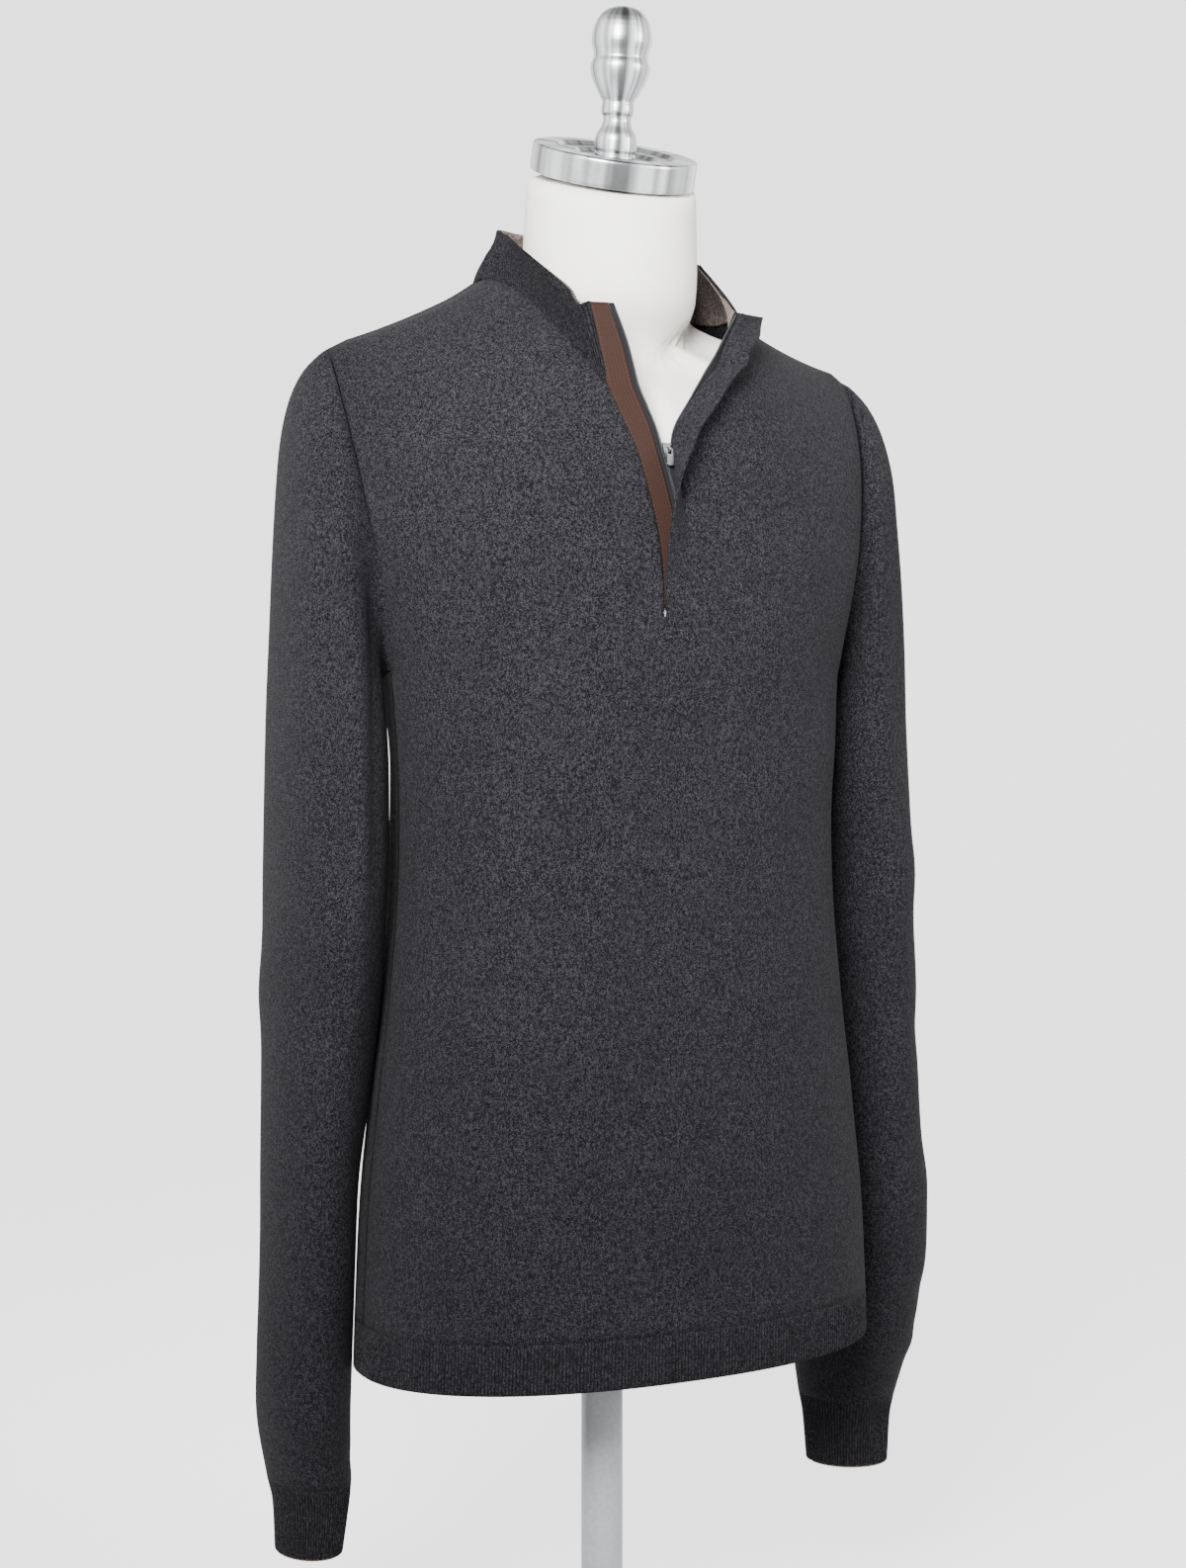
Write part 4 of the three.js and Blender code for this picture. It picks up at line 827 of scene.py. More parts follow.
def use(n, name, inputs):
    """Places a shared group in a material with its own values."""
    node = n.tree.nodes.new("ShaderNodeGroup")
    node.node_tree = shared(name)
    for label, value in inputs.items():
        n.put(node.inputs[label], value)
    return node


def blank(name):
    """A material with its helper and its main shader."""
    material = bpy.data.materials.new(name)
    material.use_nodes = True
    shader = material.node_tree.nodes["Principled BSDF"]
    return material, Nodes(material.node_tree), shader


def rgba(colour):
    return (*colour, 1.0)


def wool(name, dark, light, wale, course, deep=0.35, rib=0.0, fleck=0.0006, rough=0.95):
    """Knitted wool: mixed fibres, loops in relief and a soft sheen. Painted shade darkens the hollows between the
    loops, and on ribbed pieces the rib crests are painted lighter and the valleys darker: painted light and shade.
    """
    material, n, shader = blank(name)
    uv = n.add("ShaderNodeUVMap", uv_map="cloth").outputs[0]
    place = n.add("ShaderNodeTexCoord").outputs["Object"]
    loops = use(n, "knit", {"UV": uv, "Wale": wale, "Course": course})
    fibres = use(n, "melange", {"Place": place, "Dark": rgba(dark), "Light": rgba(light), "Fleck size": fleck})
    shade = loops.outputs["Shade"]
    if rib:
        split = n.add("ShaderNodeSeparateXYZ", {0: uv})
        wave = n.math("COSINE", n.math("MULTIPLY", n.math("DIVIDE", split.outputs[0], rib), 2 * math.pi))
        # Painted light on the rib crests and painted shade in the valleys: 1.32 down to 0.48 times the colour, in step
        # with the ribs' relief
        shade = n.math("MULTIPLY", shade, n.math("MULTIPLY_ADD", wave, 0.42, 0.90))
    grey = n.add("ShaderNodeCombineColor", {0: shade, 1: shade, 2: shade})
    n.put(shader.inputs["Base Color"], n.mix(1.0, fibres.outputs["Color"], grey.outputs[0], "MULTIPLY"))
    height = n.math("ADD", n.math("MULTIPLY", loops.outputs["Height"], 0.6),
                    n.math("MULTIPLY", fibres.outputs["Fuzz"], 0.7))
    bump = n.add("ShaderNodeBump", {"Height": height, "Strength": 1.0, "Distance": deep * MM})
    n.put(shader.inputs["Normal"], bump.outputs[0])
    shader.inputs["Roughness"].default_value = rough
    shader.inputs["Specular IOR Level"].default_value = 0.08
    shader.inputs["Sheen Weight"].default_value = 0.015
    shader.inputs["Sheen Roughness"].default_value = 0.5
    return material


def woven(name, colour, warp, weft, deep=0.12, rough=0.8, across=True):
    """Woven tape or canvas: threads in relief, a little uneven in colour, with painted light and shade that follows the
    threads: lighter where they stand high, darker in their hollows.
    """
    material, n, shader = blank(name)
    uv = n.add("ShaderNodeUVMap", uv_map="cloth").outputs[0]
    place = n.add("ShaderNodeTexCoord").outputs["Object"]
    threads = use(n, "weave", {"UV": uv, "Warp": warp, "Weft": weft})
    # Random unevenness plus painted light and shade from the threads' height
    tone = n.math("MULTIPLY_ADD", n.noise(place, 900.0, 2.0, 0.6), 0.5,
                  n.math("MULTIPLY_ADD", threads.outputs["Height"], 0.75, 0.30))
    grey = n.add("ShaderNodeCombineColor", {0: tone, 1: tone, 2: tone})
    n.put(shader.inputs["Base Color"], n.mix(1.0, rgba(colour), grey.outputs[0], "MULTIPLY"))
    bump = n.add("ShaderNodeBump", {"Height": threads.outputs["Height"], "Strength": 1.0, "Distance": deep * MM})
    n.put(shader.inputs["Normal"], bump.outputs[0])
    shader.inputs["Roughness"].default_value = rough
    shader.inputs["Specular IOR Level"].default_value = 0.1
    return material


def metal(name, colour, rings=900.0, deep=0.02, dull=0.0):
    """Turned or plated metal with fine rings, dull smears, small changes of tone and painted reflection bands round the
    axis.
    """
    material, n, shader = blank(name)
    place = n.add("ShaderNodeTexCoord").outputs["Object"]
    uv = n.add("ShaderNodeUVMap", uv_map="cloth").outputs[0]
    marks = use(n, "turned", {"UV": uv, "Place": place, "Rings": rings})
    # The colour is the tone times the painted reflection bands
    tone = n.math("MULTIPLY", marks.outputs["Tone"], marks.outputs["Painted reflection"])
    grey = n.add("ShaderNodeCombineColor", {0: tone, 1: tone, 2: tone})
    n.put(shader.inputs["Base Color"], n.mix(1.0, rgba(colour), grey.outputs[0], "MULTIPLY"))
    n.put(shader.inputs["Roughness"], n.math("ADD", marks.outputs["Dull"], dull))
    bump = n.add("ShaderNodeBump", {"Height": marks.outputs["Height"], "Strength": 1.0, "Distance": deep * MM})
    n.put(shader.inputs["Normal"], bump.outputs[0])
    shader.inputs["Metallic"].default_value = 1.0
    return material


def canvas(name, colour):
    """The form's cover: fine ivory cotton, nearly smooth, with faint handling marks."""
    material, n, shader = blank(name)
    place = n.add("ShaderNodeTexCoord").outputs["Object"]
    fine, soft = n.noise(place, 1500.0, 3.0, 0.7), n.noise(place, 30.0, 3.0, 0.55)
    tone = n.math("MULTIPLY_ADD", soft, 0.10, n.math("MULTIPLY_ADD", fine, 0.08, 0.88))
    grey = n.add("ShaderNodeCombineColor", {0: tone, 1: tone, 2: tone})
    n.put(shader.inputs["Base Color"], n.mix(1.0, rgba(colour), grey.outputs[0], "MULTIPLY"))
    bump = n.add("ShaderNodeBump", {"Height": fine, "Strength": 0.6, "Distance": 0.12 * MM})
    n.put(shader.inputs["Normal"], bump.outputs[0])
    shader.inputs["Roughness"].default_value = 0.8
    shader.inputs["Sheen Weight"].default_value = 0.1
    return material


def plain(name, colour, rough=0.7, fine=800.0):
    """Thread or paint: one colour with a fine unevenness in tone and gloss."""
    material, n, shader = blank(name)
    place = n.add("ShaderNodeTexCoord").outputs["Object"]
    noise = n.noise(place, fine, 2.0, 0.5)
    tone = n.math("MULTIPLY_ADD", noise, 0.4, 0.8)
    grey = n.add("ShaderNodeCombineColor", {0: tone, 1: tone, 2: tone})
    n.put(shader.inputs["Base Color"], n.mix(1.0, rgba(colour), grey.outputs[0], "MULTIPLY"))
    n.put(shader.inputs["Roughness"], n.math("MULTIPLY_ADD", noise, 0.15, rough - 0.07))
    return material


def colour(name, description, default):
    return FloatVectorProperty(name=name, description=description, default=default, size=3, min=0, max=1,
                               subtype="COLOR")


def length(name, description, default):
    return FloatProperty(name=name, description=description, default=default, min=0, unit="LENGTH", precision=5)


class KnitSettings(bpy.types.PropertyGroup):
    """Yarn and gauge of the knitted pieces"""
    dark: colour("Dark fibre", "The darker wool of the charcoal mix", (0.0022, 0.0021, 0.0026))
    light: colour("Light fibre", "The lighter wool of the charcoal mix", (0.047, 0.0452, 0.0540))
    lining_dark: colour("Lining, dark", "The darker wool of the brown lining", (0.085, 0.066, 0.058))
    lining_light: colour("Lining, light", "The lighter wool of the brown lining", (0.34, 0.28, 0.255))
    wale: length("Wale", "Width of one column of loops", 0.0016)
    course: length("Course", "Height of one row of loops", 0.0012)
    rib: length("Rib", "Width of one rib of the collar, cuffs and hem", 0.0022)
    rib_height: length("Rib height", "How far a rib stands out of its valley", 0.0007)


class TrimSettings(bpy.types.PropertyGroup):
    """Ribbon, zip and thread"""
    ribbon: colour("Ribbon", "The ribbon that faces the right front edge", (0.026, 0.0125, 0.0092))
    tape: colour("Zip tape", "The woven tape of the zip", (0.012, 0.0122, 0.014))
    coil: colour("Zip coil", "The teeth of the zip", (0.03, 0.031, 0.034))
    plating: colour("Plating", "The slider and its pull tab", (0.26, 0.26, 0.27))
    edge: colour("Cuff edge", "The brown line at the cuff's open end", (0.13, 0.085, 0.07))


class FormSettings(bpy.types.PropertyGroup):
    """The dress form and its stand"""
    cover: colour("Cover", "The form's cotton cover", (0.95, 0.925, 0.88))
    aluminium: colour("Aluminium", "The neck cap and finial", (0.40, 0.405, 0.415))
    stand: colour("Stand", "The pole and the round base", (0.40, 0.41, 0.43))


class StageSettings(bpy.types.PropertyGroup):
    """Camera, light and backdrop"""
    backdrop: colour("Backdrop", "The pale floor and wall", (0.90, 0.90, 0.90))
    azimuth: FloatProperty(name="Azimuth", description="The camera's place round the form",
                           default=math.radians(-22), subtype="ANGLE")
    distance: length("Distance", "From the camera to the middle of the stand", 1.75)
    height: length("Height", "The camera's height over the floor", 0.607)
    lens: FloatProperty(name="Lens", description="Focal length in millimetres", default=59.58, min=1)
    key: FloatProperty(name="Key light", description="Power of the main light, in watts", default=22, min=0)
    fill: FloatProperty(name="Fill light", description="Power of the fill light, in watts", default=5, min=0)
    glow: FloatProperty(name="Backdrop glow", description="How bright the backdrop is of itself", default=1.95, min=0)
    sky: FloatProperty(name="Sky", description="Strength of the even light from all sides", default=0.5, min=0)


class SWEATER_OT_stage(bpy.types.Operator):
    """Sets up the camera, the soft lights and the plain pale backdrop"""
    bl_idname = "sweater.stage"
    bl_label = "Stage"

    def execute(self, context):
        s = context.scene.sweater_stage
        ahead = Vector((-math.sin(s.azimuth), math.cos(s.azimuth), 0))
        across = Vector((math.cos(s.azimuth), math.sin(s.azimuth), 0))
        pan = math.atan(9 / 2625)
        camera = bpy.data.objects.new("camera", bpy.data.cameras.new("camera"))
        camera.location = -ahead * s.distance + Vector((0, 0, s.height))
        look = ahead * math.cos(pan) - across * math.sin(pan)
        camera.rotation_mode = "QUATERNION"
        camera.rotation_quaternion = look.to_track_quat("-Z", "Y")
        camera.data.lens, camera.data.sensor_width = s.lens, 36
        camera.data.clip_end = 100
        context.scene.collection.objects.link(camera)
        context.scene.camera = camera

        world = bpy.data.worlds.new("studio")
        context.scene.world = world
        world.use_nodes = True
        world.node_tree.nodes["Background"].inputs["Color"].default_value = (1, 1, 1, 1)
        world.node_tree.nodes["Background"].inputs["Strength"].default_value = s.sky
        self.lamp(context, "key", (-1.15, -1.65, 1.5), (0, 0, 0.95), s.key, 0.9, 58)
        self.lamp(context, "fill", (1.6, -1.5, 1.2), (0.05, 0, 0.8), s.fill, 0.8, 60)

        turn = np.linspace(0, 2 * np.pi, 65)[:-1]
        arc = np.linspace(0, np.pi / 2, 17)
        radius = np.concatenate([[1, 1500], 5000 + 1500 * np.sin(arc), [6500]])
        height = np.concatenate([[0, 0], 1500 - 1500 * np.cos(arc), [7000]])
        points = stack(radius[:, None] * np.cos(turn), radius[:, None] * np.sin(turn), height[:, None])
        mesh = lay_grid("backdrop", points, closed=True)
        floor = bpy.data.objects.new("backdrop", mesh)
        context.scene.collection.objects.link(floor)
        material, n, shader = blank("pale backdrop")
        shader.inputs["Base Color"].default_value = rgba(s.backdrop)
        shader.inputs["Roughness"].default_value = 1.0
        shader.inputs["Specular IOR Level"].default_value = 0.0
        shader.inputs["Emission Color"].default_value = (1, 1, 1, 1)
        shader.inputs["Emission Strength"].default_value = s.glow
        mesh.materials.append(material)
        floor.visible_diffuse = False
        return {"FINISHED"}

    def lamp(self, context, name, place, target, power, size, spread):
        light = bpy.data.lights.new(name, "AREA")
        light.energy, light.shape, light.size, light.spread = power, "SQUARE", size, math.radians(spread)
        obj = bpy.data.objects.new(name, light)
        obj.location = place
        obj.rotation_euler = (Vector(target) - Vector(place)).to_track_quat("-Z", "Y").to_euler()
        context.scene.collection.objects.link(obj)


def charcoal(context, rib=0.0, painted_shade_factor=1.0):
    """The sweater's own yarn, plain or ribbed. A painted shade factor below 1 gives a darker copy of the same yarn for
    the collar's ribs: painted shade, not another yarn.
    """
    k = context.scene.sweater_knit
    name = ("charcoal collar rib" if painted_shade_factor < 1 else "charcoal rib") if rib else "charcoal jersey"
    if name in bpy.data.materials:
        return bpy.data.materials[name]
    # Painted shade: both fibre colours scaled down for the collar's copy
    dark, light = ([c * painted_shade_factor for c in colour] for colour in (k.dark, k.light))
    return wool(name, dark, light, (rib or k.wale), k.course, rib=rib)


class SWEATER_OT_panels(bpy.types.Operator):
    """Builds the front and back panels and the hem rib"""
    bl_idname = "sweater.panels"
    bl_label = "Panels and hem"

    def execute(self, context):
        k = context.scene.sweater_knit
        jersey = charcoal(context)
        points, foot, at = front_grid()
        skip = np.zeros((len(points) - 1, points.shape[1] - 1), bool)
        skip[foot:, at] = True
        uv = grid_uv(points, reference=84)
        front = show("front_panel_knit", lay_grid("front_panel_knit", points, uv, skip=skip), jersey,
                     replaces=["front_panel"])
        thicken(front, KNIT)
        points = back_grid()
        back = show("back_panel_knit", lay_grid("back_panel_knit", points, grid_uv(points, reference=84), flip=True),
                    jersey, replaces=["back_panel"])
        thicken(back, KNIT)

        rings = np.stack([hem_ring(z) for z in np.linspace(HEM_Z, HEM_Z + HEM_RIB, 9)])
        around = np.concatenate([rings[4], rings[4][:1]])
        at = run(around)
        pitch = whole_pitch(at[-1], k.rib / MM)
        count = 5 * round(at[-1] / pitch)
        even = np.linspace(0, at[-1], count + 1)
        shares = np.interp(even, at, np.arange(len(around)))
        closed = np.concatenate([rings, rings[:, :1]], 1)
        low = np.clip(shares.astype(int), 0, closed.shape[1] - 2)
        part = (shares - low)[None, :, None]
        fine = (closed[:, low] * (1 - part) + closed[:, low + 1] * part)[:, :-1]
        normals = grid_normals(fine, closed=True)
        deep = k.rib_height / MM * smooth((np.linspace(1, 0, 9) + 0.05) / 0.25)[:, None]
        points = ribbed(fine, normals, even[None, :-1] + 0 * fine[..., 0], pitch, deep)
        uv = np.stack(np.broadcast_arrays(even[None, :] * (k.rib / MM) / pitch, np.linspace(0, HEM_RIB, 9)[:, None]), -1)
        hem = show("hem_rib_knit", lay_grid("hem_rib_knit", points, uv, closed=True), charcoal(context, k.rib),
                   replaces=["hem_rib"])
        thicken(hem, KNIT)
        return {"FINISHED"}


class SWEATER_OT_sleeves(bpy.types.Operator):
    """Builds both sleeves and their ribbed cuffs"""
    bl_idname = "sweater.sleeves"
    bl_label = "Sleeves and cuffs"

    def execute(self, context):
        k = context.scene.sweater_knit
        t = context.scene.sweater_trim
        for hand in ("right", "left"):
            points = sleeve_grid(hand)
            wide = np.concatenate([points, points[:, :1]], 1)
            u = run(wide, 1)
            u = u - u[:, [wide.shape[1] // 2]]
            v = run(points).mean(1)
            uv = np.stack(np.broadcast_arrays(u, -v[:, None]), -1)
            flip = hand == "right"
            sleeve = show(f"sleeve_{hand}_knit", lay_grid(f"sleeve_{hand}_knit", points, uv, closed=True, flip=flip),
                          charcoal(context), replaces=[f"sleeve_{hand}"])
            thicken(sleeve, KNIT)
            points, uv = cuff_grid(hand, k.rib / MM)
            cuff = show(f"cuff_{hand}_knit", lay_grid(f"cuff_{hand}_knit", points, uv, closed=True, flip=flip),
                        charcoal(context, k.rib), replaces=[f"cuff_{hand}"])
            thicken(cuff, KNIT)
            rim = points[-1] + np.array([0, 0, -0.1])
            middle = rim.mean(0)
            inward = (middle - rim) / np.linalg.norm(middle - rim, axis=1, keepdims=True)
            path = resampled(np.concatenate([rim, rim[:1]]) + np.concatenate([inward, inward[:1]]) * 0.7, step=1.5)
            out = np.repeat([[0.0, 0.0, 1.0]], len(path), 0)
            cord = lay_grid(f"cuff_{hand}_edge", tube(path, out, 0.75), flip=True, closed=True)
            edge = "cuff edge thread"
            made = bpy.data.materials.get(edge) or plain(edge, t.edge, 0.85)
            show(f"cuff_{hand}_edge", mended(cord), made)
        return {"FINISHED"}


class SWEATER_OT_collar(bpy.types.Operator):
    """Builds the ribbed stand collar and its brown lining"""
    bl_idname = "sweater.collar"
    bl_label = "Collar and lining"

    def execute(self, context):
        k = context.scene.sweater_knit
        turn, even, pitch = even_turns(k.rib / MM)
        rows = collar_rows(turn, 18)
        normals = grid_normals(rows, flip=True)
        deep = k.rib_height / MM * smooth(np.linspace(0, 4, 18))[:, None]
        points = ribbed(rows, normals, even[None, :] + 0 * rows[..., 0], pitch, deep)
        up = run(rows).mean(1)
        uv = np.stack(np.broadcast_arrays(even[None, :] * (k.rib / MM) / pitch, up[:, None]), -1)
        # The collar gets the painted-shade copy of the yarn, 0.72 times as bright
        collar = show("collar_knit", lay_grid("collar_knit", points, uv, flip=True), charcoal(context, k.rib, 0.72),
                      replaces=["collar"])
        thicken(collar, KNIT)
        keep = slice(np.searchsorted(even, 4.5), np.searchsorted(even, even[-1] - 4.5) + 1)
        under = (rows - normals * UNDER_KNIT)[:, keep]
        rolled = 1 - smooth((turn[keep] - 0.02) / 0.12)
        under[-1] += np.array([0, 0, 0.5]) + rolled[:, None] * np.array([0, -0.5, 1.3])
        lined = ribbed(under, normals[:, keep], even[None, keep] + 0 * under[..., 0], pitch, -0.5)
        material = wool("brown lining rib", k.lining_dark, k.lining_light, k.rib, k.course, rib=k.rib)
        lining = show("collar_lining_knit", lay_grid("collar_lining_knit", lined, uv[:, keep], flip=True), material,
                      replaces=["collar_lining"])
        thicken(lining, LINING)
        return {"FINISHED"}


class SWEATER_OT_placket(bpy.types.Operator):
    """Builds the fly, the ribbon facing, the zip tapes, their teeth and the stitching"""
    bl_idname = "sweater.placket"
    bl_label = "Placket and zip"

    def execute(self, context):
        k, t = context.scene.sweater_knit, context.scene.sweater_trim
        thread = plain("charcoal thread", (0.015, 0.0146, 0.0172), 0.9)
        brown_thread = plain("brown thread", [c * 0.75 for c in t.ribbon], 0.6)
        tape = woven("zip tape", t.tape, 0.0005, 0.0007)
        coil = plain("zip coil", t.coil, 0.35)

        points = fly_grid()
        fly = show("fly_knit", lay_grid("fly_knit", points, grid_uv(points)), charcoal(context),
                   replaces=["fly"])
        thicken(fly, FLY, rim=0.5)

        path, normals, along, into = front_edge("right")
        line = column(OPENING_SECTIONS, "z", "zipRight", path[:, 2])
        far = line - ZIP_WIDTH - 0.3
        across = np.linspace(0, 1, 10)[None, :, None]
        lip = path - into * 3.0
        flat = np.stack([level_row(path, path[:, 0] + (far - path[:, 0]) * s) for s in np.linspace(0, 1, 10)], 1)
        ribbon = (np.concatenate([lip[:, None], flat], 1) - normals[:, None] * UNDER_KNIT)[2:]
        satin = woven("brown ribbon", t.ribbon, 0.004, 0.0018, deep=0.2, rough=0.65)
        made = show("ribbon_band", lay_grid("ribbon_band", ribbon, grid_uv(ribbon)), satin,
                    replaces=["ribbon"])
        thicken(made, RIBBON)
        for name, at in (("ribbon_stitch_zip", -2), ("ribbon_stitch_edge", 2)):
            seam = beads(name, ribbon[:-1, at] + normals[2:-1] * 0.05, normals[2:-1], 2.6, (1.7, 0.35, 0.25))
            show(name, seam, brown_thread)
        teeth_from = np.searchsorted(path[:, 2], SLIDER_Z + 5)
        strip = np.stack([level_row(path, line - ZIP_WIDTH * s) for s in (1, 0.66, 0.33, 0)], 1)
        strip = strip - normals[:, None] * (UNDER_KNIT + 0.35)
        self.tape("right", strip, normals, tape, coil, -1, teeth_from)

        path, normals, along, into = front_edge("left")
        line = column(OPENING_SECTIONS, "z", "zipLeft", path[:, 2])
        under = path - into * 3.0
        strip = np.stack([level_row(path, line), level_row(path, (line + path[:, 0]) / 2), level_row(path, path[:, 0]),
                          under], 1) - normals[:, None] * (UNDER_KNIT + 0.35)
        self.tape("left", strip, normals, tape, coil, 0, np.searchsorted(path[:, 2], SLIDER_Z + 5))

        points, foot, at, _ = panel_grid("front")
        row = resampled(points[foot - 3, at - 1 : at + 3], step=1.0)
        show("placket_seam", beads("placket_seam", row, grid_normals(points)[foot - 3, at][None] + 0 * row, 2.2,
                                   (1.7, 0.4, 0.3)), thread)
        return {"FINISHED"}

    def tape(self, hand, strip, normals, tape, coil, line_at, teeth_from):
        """One zip tape with its row of teeth along the line where the two sides meet."""
        made = show(f"zip_{hand}_tape", lay_grid(f"zip_{hand}_tape", strip, grid_uv(strip)), tape,
                    replaces=[f"zip_{hand}"])
        thicken(made, 0.9)
        line = strip[:, line_at] + normals * 0.35
        way = 0.35 if hand == "left" else -0.35
        line = line + np.array([way, 0, 0])
        teeth = beads(f"zip_{hand}_teeth", line[1:-1], normals[1:-1], 1.15, (0.75, 1.9, 1.1), 8 if hand == "left" else -8)
        show(f"zip_{hand}_teeth", teeth, coil)


class SWEATER_OT_slider(bpy.types.Operator):
    """Builds the slider, the bridge and the pull tab, with rounded edges"""
    bl_idname = "sweater.slider"
    bl_label = "Slider and pull tab"

    def execute(self, context):
        plating = metal("bright plating", context.scene.sweater_trim.plating, rings=60.0, deep=0.004, dull=-0.05)
        for node, body in (("slider", BODY), ("slider_bridge", BODY), ("pull_tab", "pull_tab")):
            mesh = node_copy(node)
            piece = show(node + "_plated", mesh, plating, body=body, replaces=[node])
            mesh.uv_layers.new(name="cloth") if "cloth" not in mesh.uv_layers else None
            edge = piece.modifiers.new("rounded edge", "BEVEL")
            edge.width, edge.segments, edge.limit_method = 0.16 * MM, 2, "ANGLE"
            edge.angle_limit = math.radians(40)
        return {"FINISHED"}


class SWEATER_OT_form(bpy.types.Operator):
    """Builds the limbless dress form, its neck cap and finial, and the stand"""
    bl_idname = "sweater.form"
    bl_label = "Dress form and stand"

    def execute(self, context):
        f = context.scene.sweater_form
        cover = canvas("ivory cotton cover", f.cover)
        mesh = node_copy("form_torso")
        mesh.shade_smooth()
        torso = show("form_cover", mesh, cover, replaces=["form_torso"])
        finer = torso.modifiers.new("finer", "SUBSURF")
        finer.levels = finer.render_levels = 1
        finer.boundary_smooth = "PRESERVE_CORNERS"

        tilt = math.radians(21.5)
        normal = np.array([0, -math.sin(tilt), math.cos(tilt)])
        foot = np.array([0, -17.5, 1010.4]) + normal * 0.35
        aluminium = metal("turned aluminium", f.aluminium, rings=700.0, deep=0.03, dull=0.06)
        cap = [(0.5, 0), (53.6, 0), (54.6, 0.3), (55.3, 1.0), (55.4, 2.0), (55.4, 5), (55.4, 9), (55.4, 13), (55.4, 17),
               (55.1, 18.2), (54.2, 18.9), (53, 19), (48, 19), (41.2, 19), (40.4, 18.6), (39.4, 17.4), (38.4, 16.6),
               (37, 16.5), (32, 16.5), (29, 16.5), (28.2, 16.1), (27.2, 14.9), (26.2, 14.1), (25.2, 14), (20, 14),
               (0.5, 14)]
        self.turned("neck_cap_turned", cap, foot, tilt, tilt, aluminium, "neck_cap", "bare_metal")
        knob = [(0.3, 0), (13.4, 0), (14, 0.8), (14.2, 2.6), (13.2, 3.2), (13.2, 4.0), (14.2, 4.6), (14.2, 11), (13.9, 13),
                (13.2, 15), (11.8, 17.4), (10.6, 19.5), (9.6, 22), (9.2, 23.5), (9.3, 25.6), (9.6, 27), (10.5, 27.8),
                (10.9, 29), (10.9, 33), (10.6, 34.6), (10.2, 35.4), (10.8, 36.8), (11.6, 38), (13.6, 41.4), (15.6, 45),
                (17.5, 48.6), (18.8, 52), (19.6, 55), (19.9, 58), (19.7, 60), (19.0, 62), (18.2, 63.6), (17.9, 64.5),
                (18.1, 66), (18.6, 69), (19.5, 71.6), (20, 74), (20.1, 77), (19.8, 80), (19.1, 83.6), (18, 87),
                (16.3, 90.3), (14, 93), (11.2, 95.2), (8, 96.6), (5, 97.4), (2, 97.8), (0.3, 97.9)]
        self.turned("finial_turned", knob, foot + normal * 14.35, math.radians(9.5), tilt, aluminium, "finial",
                    "bare_metal")
        paint = plain("satin grey paint", f.stand, 0.4, 300.0)
        base = [(1, 0), (143, 0), (146, 0.4), (149, 2), (150, 4), (150, 6), (149.2, 8.2), (147.5, 9.6), (144, 10.2),
                (90, 11.1), (44, 11.8), (34, 12.6), (27, 14), (24, 16), (22.8, 19), (22.3, 24), (21.8, 25.6), (21, 26),
                (1, 26)]
        self.turned("base_painted", base, (0, 0, 0), 0, 0, paint, "stand_base", "stand_metal", step=1.5)
        pole = [(0.5, 26.3), (13.6, 26.3), (14, 26.7), (14, 120), (14, 263), (13.6, 263.6), (0.5, 263.6)]
        self.turned("pole_painted", pole, (0, 0, 0), 0, 0, paint, "pole", "stand_metal", step=4)
        return {"FINISHED"}

    def turned(self, name, profile, foot, tilt, foot_tilt, material, node, slot, step=0.6):
        """A turned piece from its profile: rings laid and its two small end holes closed by a merge."""
        profile = rounded_profile(profile, step)
        profile[[0, -1], 0] = 0.005
        points = lathe(profile, foot, tilt, foot_tilt)
        sides = points.shape[1]
        turn = np.linspace(0, 200, sides + 1)
        uv = np.stack(np.broadcast_arrays(turn[None, :], run(profile)[:, None]), -1)
        mesh = mended(lay_grid(name, points, uv, closed=True), 0.05)
        mesh.shade_smooth()
        return show(name, mesh, material, replaces=[node])


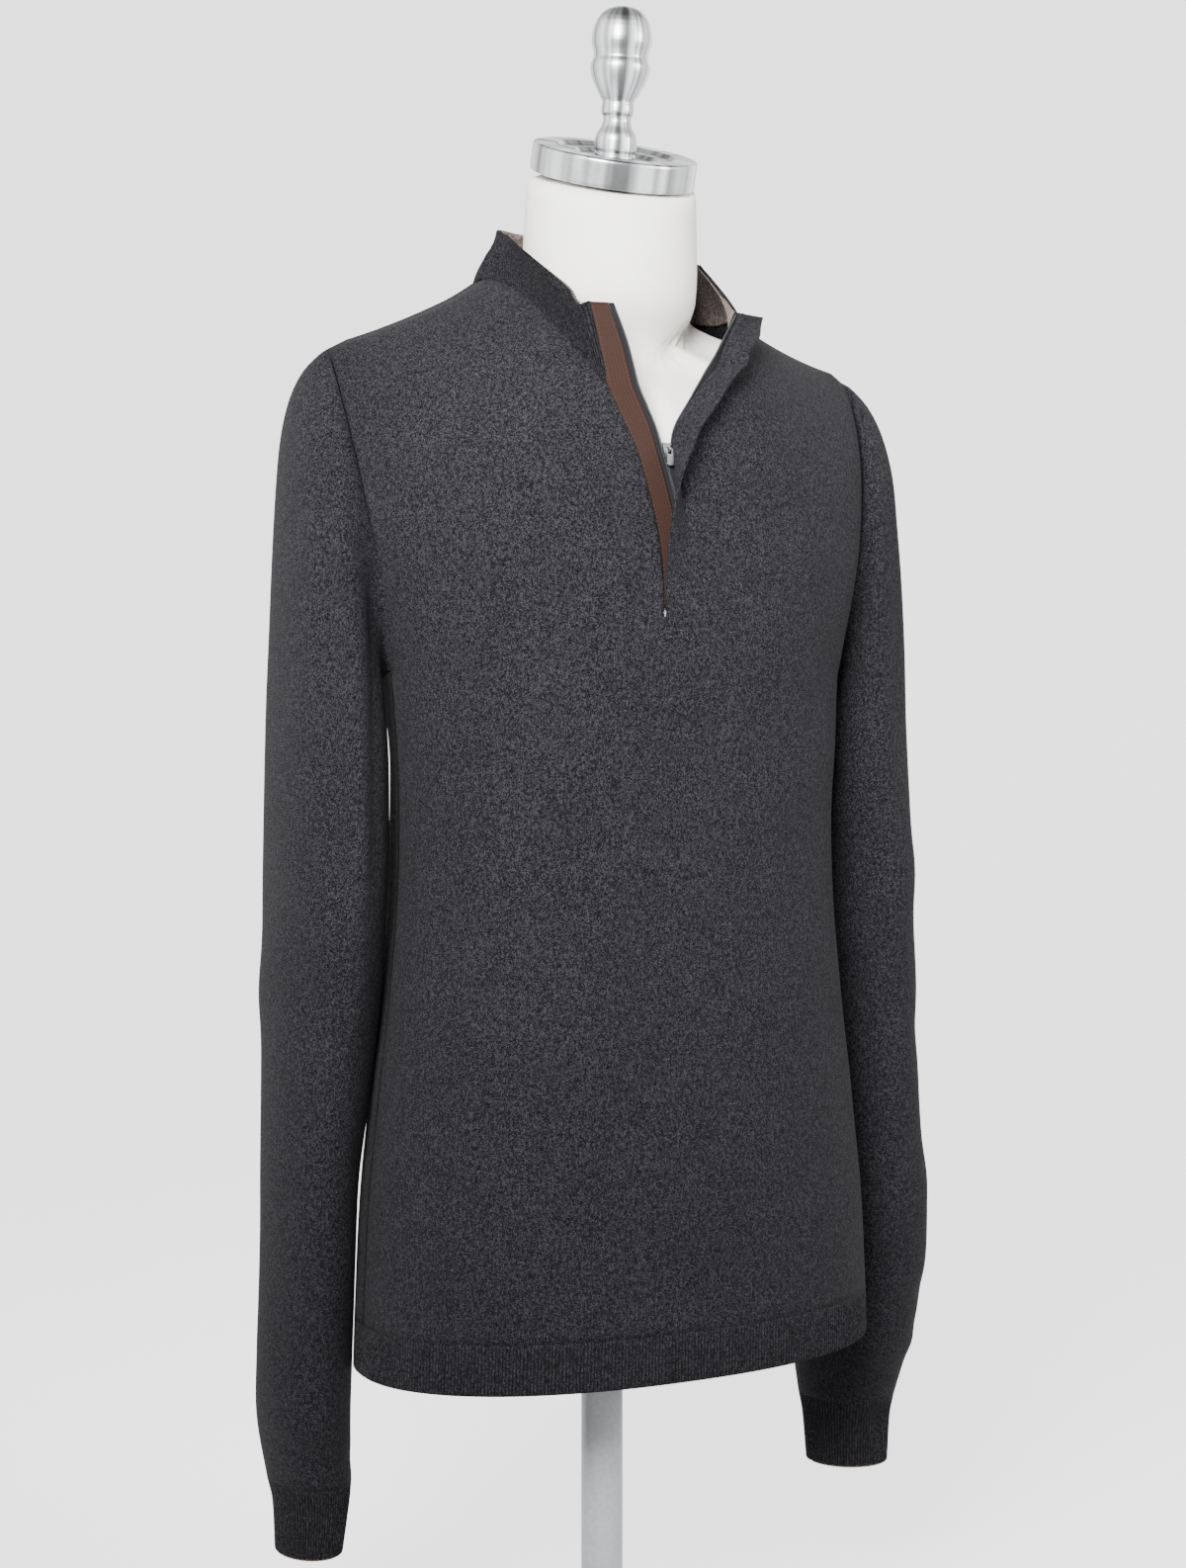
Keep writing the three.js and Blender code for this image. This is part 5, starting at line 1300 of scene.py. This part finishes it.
class SWEATER_OT_seams(bpy.types.Operator):
    """Adds the fine linked seams at the shoulders, armholes, sides, neck, hem and cuffs"""
    bl_idname = "sweater.seams"
    bl_label = "Seams"

    def execute(self, context):
        thread = bpy.data.materials["charcoal thread"]
        for hand in ("right", "left"):
            ring = sleeve_grid(hand)
            normals = grid_normals(ring, closed=True, flip=hand == "right")
            self.seam(f"armhole_seam_{hand}", ring[1], normals[2], thread, closed=True)
            self.seam(f"cuff_seam_{hand}", ring[-1], normals[-2], thread, closed=True)
            edge = -1.0 if hand == "right" else 1.0
            front, _, _, across = panel_grid("front")
            neck = NECK_ACROSS[hand] * 1.0
            pick = np.where((across * edge >= neck - 1e-9))[0]
            line = front[-1][pick]
            up = np.repeat([[0.0, 0.1, 1.0]], len(line), 0)
            self.seam(f"shoulder_seam_{hand}", line[2:-1], up[2:-1], thread)
            side = front[: 84, 0 if hand == "right" else -1]
            out = np.repeat([[edge, 0.0, 0.0]], len(side), 0)
            self.seam(f"side_seam_{hand}", side, out, thread)
        turn = np.linspace(0.002, 0.998, 200)
        rows = collar_rows(turn, 18)
        self.seam("collar_seam", rows[0], grid_normals(rows, flip=True)[1], thread)
        ring = hem_ring(HEM_Z + HEM_RIB)
        out = grid_normals(np.stack([hem_ring(HEM_Z + 20), ring]), closed=True)[1]
        self.seam("hem_seam", ring, out, thread, closed=True)
        return {"FINISHED"}

    def seam(self, name, path, normals, material, closed=False):
        """A row of small linked loops, sunk into the join of two pieces."""
        if closed:
            path, normals = np.concatenate([path, path[:1]]), np.concatenate([normals, normals[:1]])
        path, normals = resampled(path, normals, step=1.6)
        normals = normals / np.linalg.norm(normals, axis=1, keepdims=True)
        mesh = beads(name, path - normals * 0.4, normals, 1.6, (1.6, 0.7, 0.7), 12)
        show(name, mesh, material)


class SWEATER_PT_panel(bpy.types.Panel):
    """Lists the settings and the steps that build the sweater"""
    bl_idname = "SWEATER_PT_panel"
    bl_label = "Quarter zip sweater"
    bl_space_type = "VIEW_3D"
    bl_region_type = "UI"
    bl_category = "Sweater"

    def draw(self, context):
        for settings in (context.scene.sweater_knit, context.scene.sweater_trim, context.scene.sweater_form,
                         context.scene.sweater_stage):
            box = self.layout.box()
            for name in settings.bl_rna.properties.keys():
                if name not in ("rna_type", "name"):
                    box.prop(settings, name)
        for operator in OPERATORS:
            self.layout.operator(operator.bl_idname)


SETTINGS = (KnitSettings, TrimSettings, FormSettings, StageSettings)
OPERATORS = (SWEATER_OT_stage, SWEATER_OT_panels, SWEATER_OT_sleeves, SWEATER_OT_collar, SWEATER_OT_placket,
             SWEATER_OT_slider, SWEATER_OT_form, SWEATER_OT_seams)


def register():
    for cls in (*SETTINGS, *OPERATORS, SWEATER_PT_panel):
        bpy.utils.register_class(cls)
    bpy.types.Scene.sweater_knit = PointerProperty(type=KnitSettings)
    bpy.types.Scene.sweater_trim = PointerProperty(type=TrimSettings)
    bpy.types.Scene.sweater_form = PointerProperty(type=FormSettings)
    bpy.types.Scene.sweater_stage = PointerProperty(type=StageSettings)


def unregister():
    for name in ("sweater_stage", "sweater_form", "sweater_trim", "sweater_knit"):
        delattr(bpy.types.Scene, name)
    for cls in reversed((*SETTINGS, *OPERATORS, SWEATER_PT_panel)):
        bpy.utils.unregister_class(cls)


def main():
    """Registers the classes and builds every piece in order."""
    register()
    for operator in OPERATORS:
        family, name = operator.bl_idname.split(".")
        getattr(getattr(bpy.ops, family), name)()


if __name__ == "__main__":
    main()
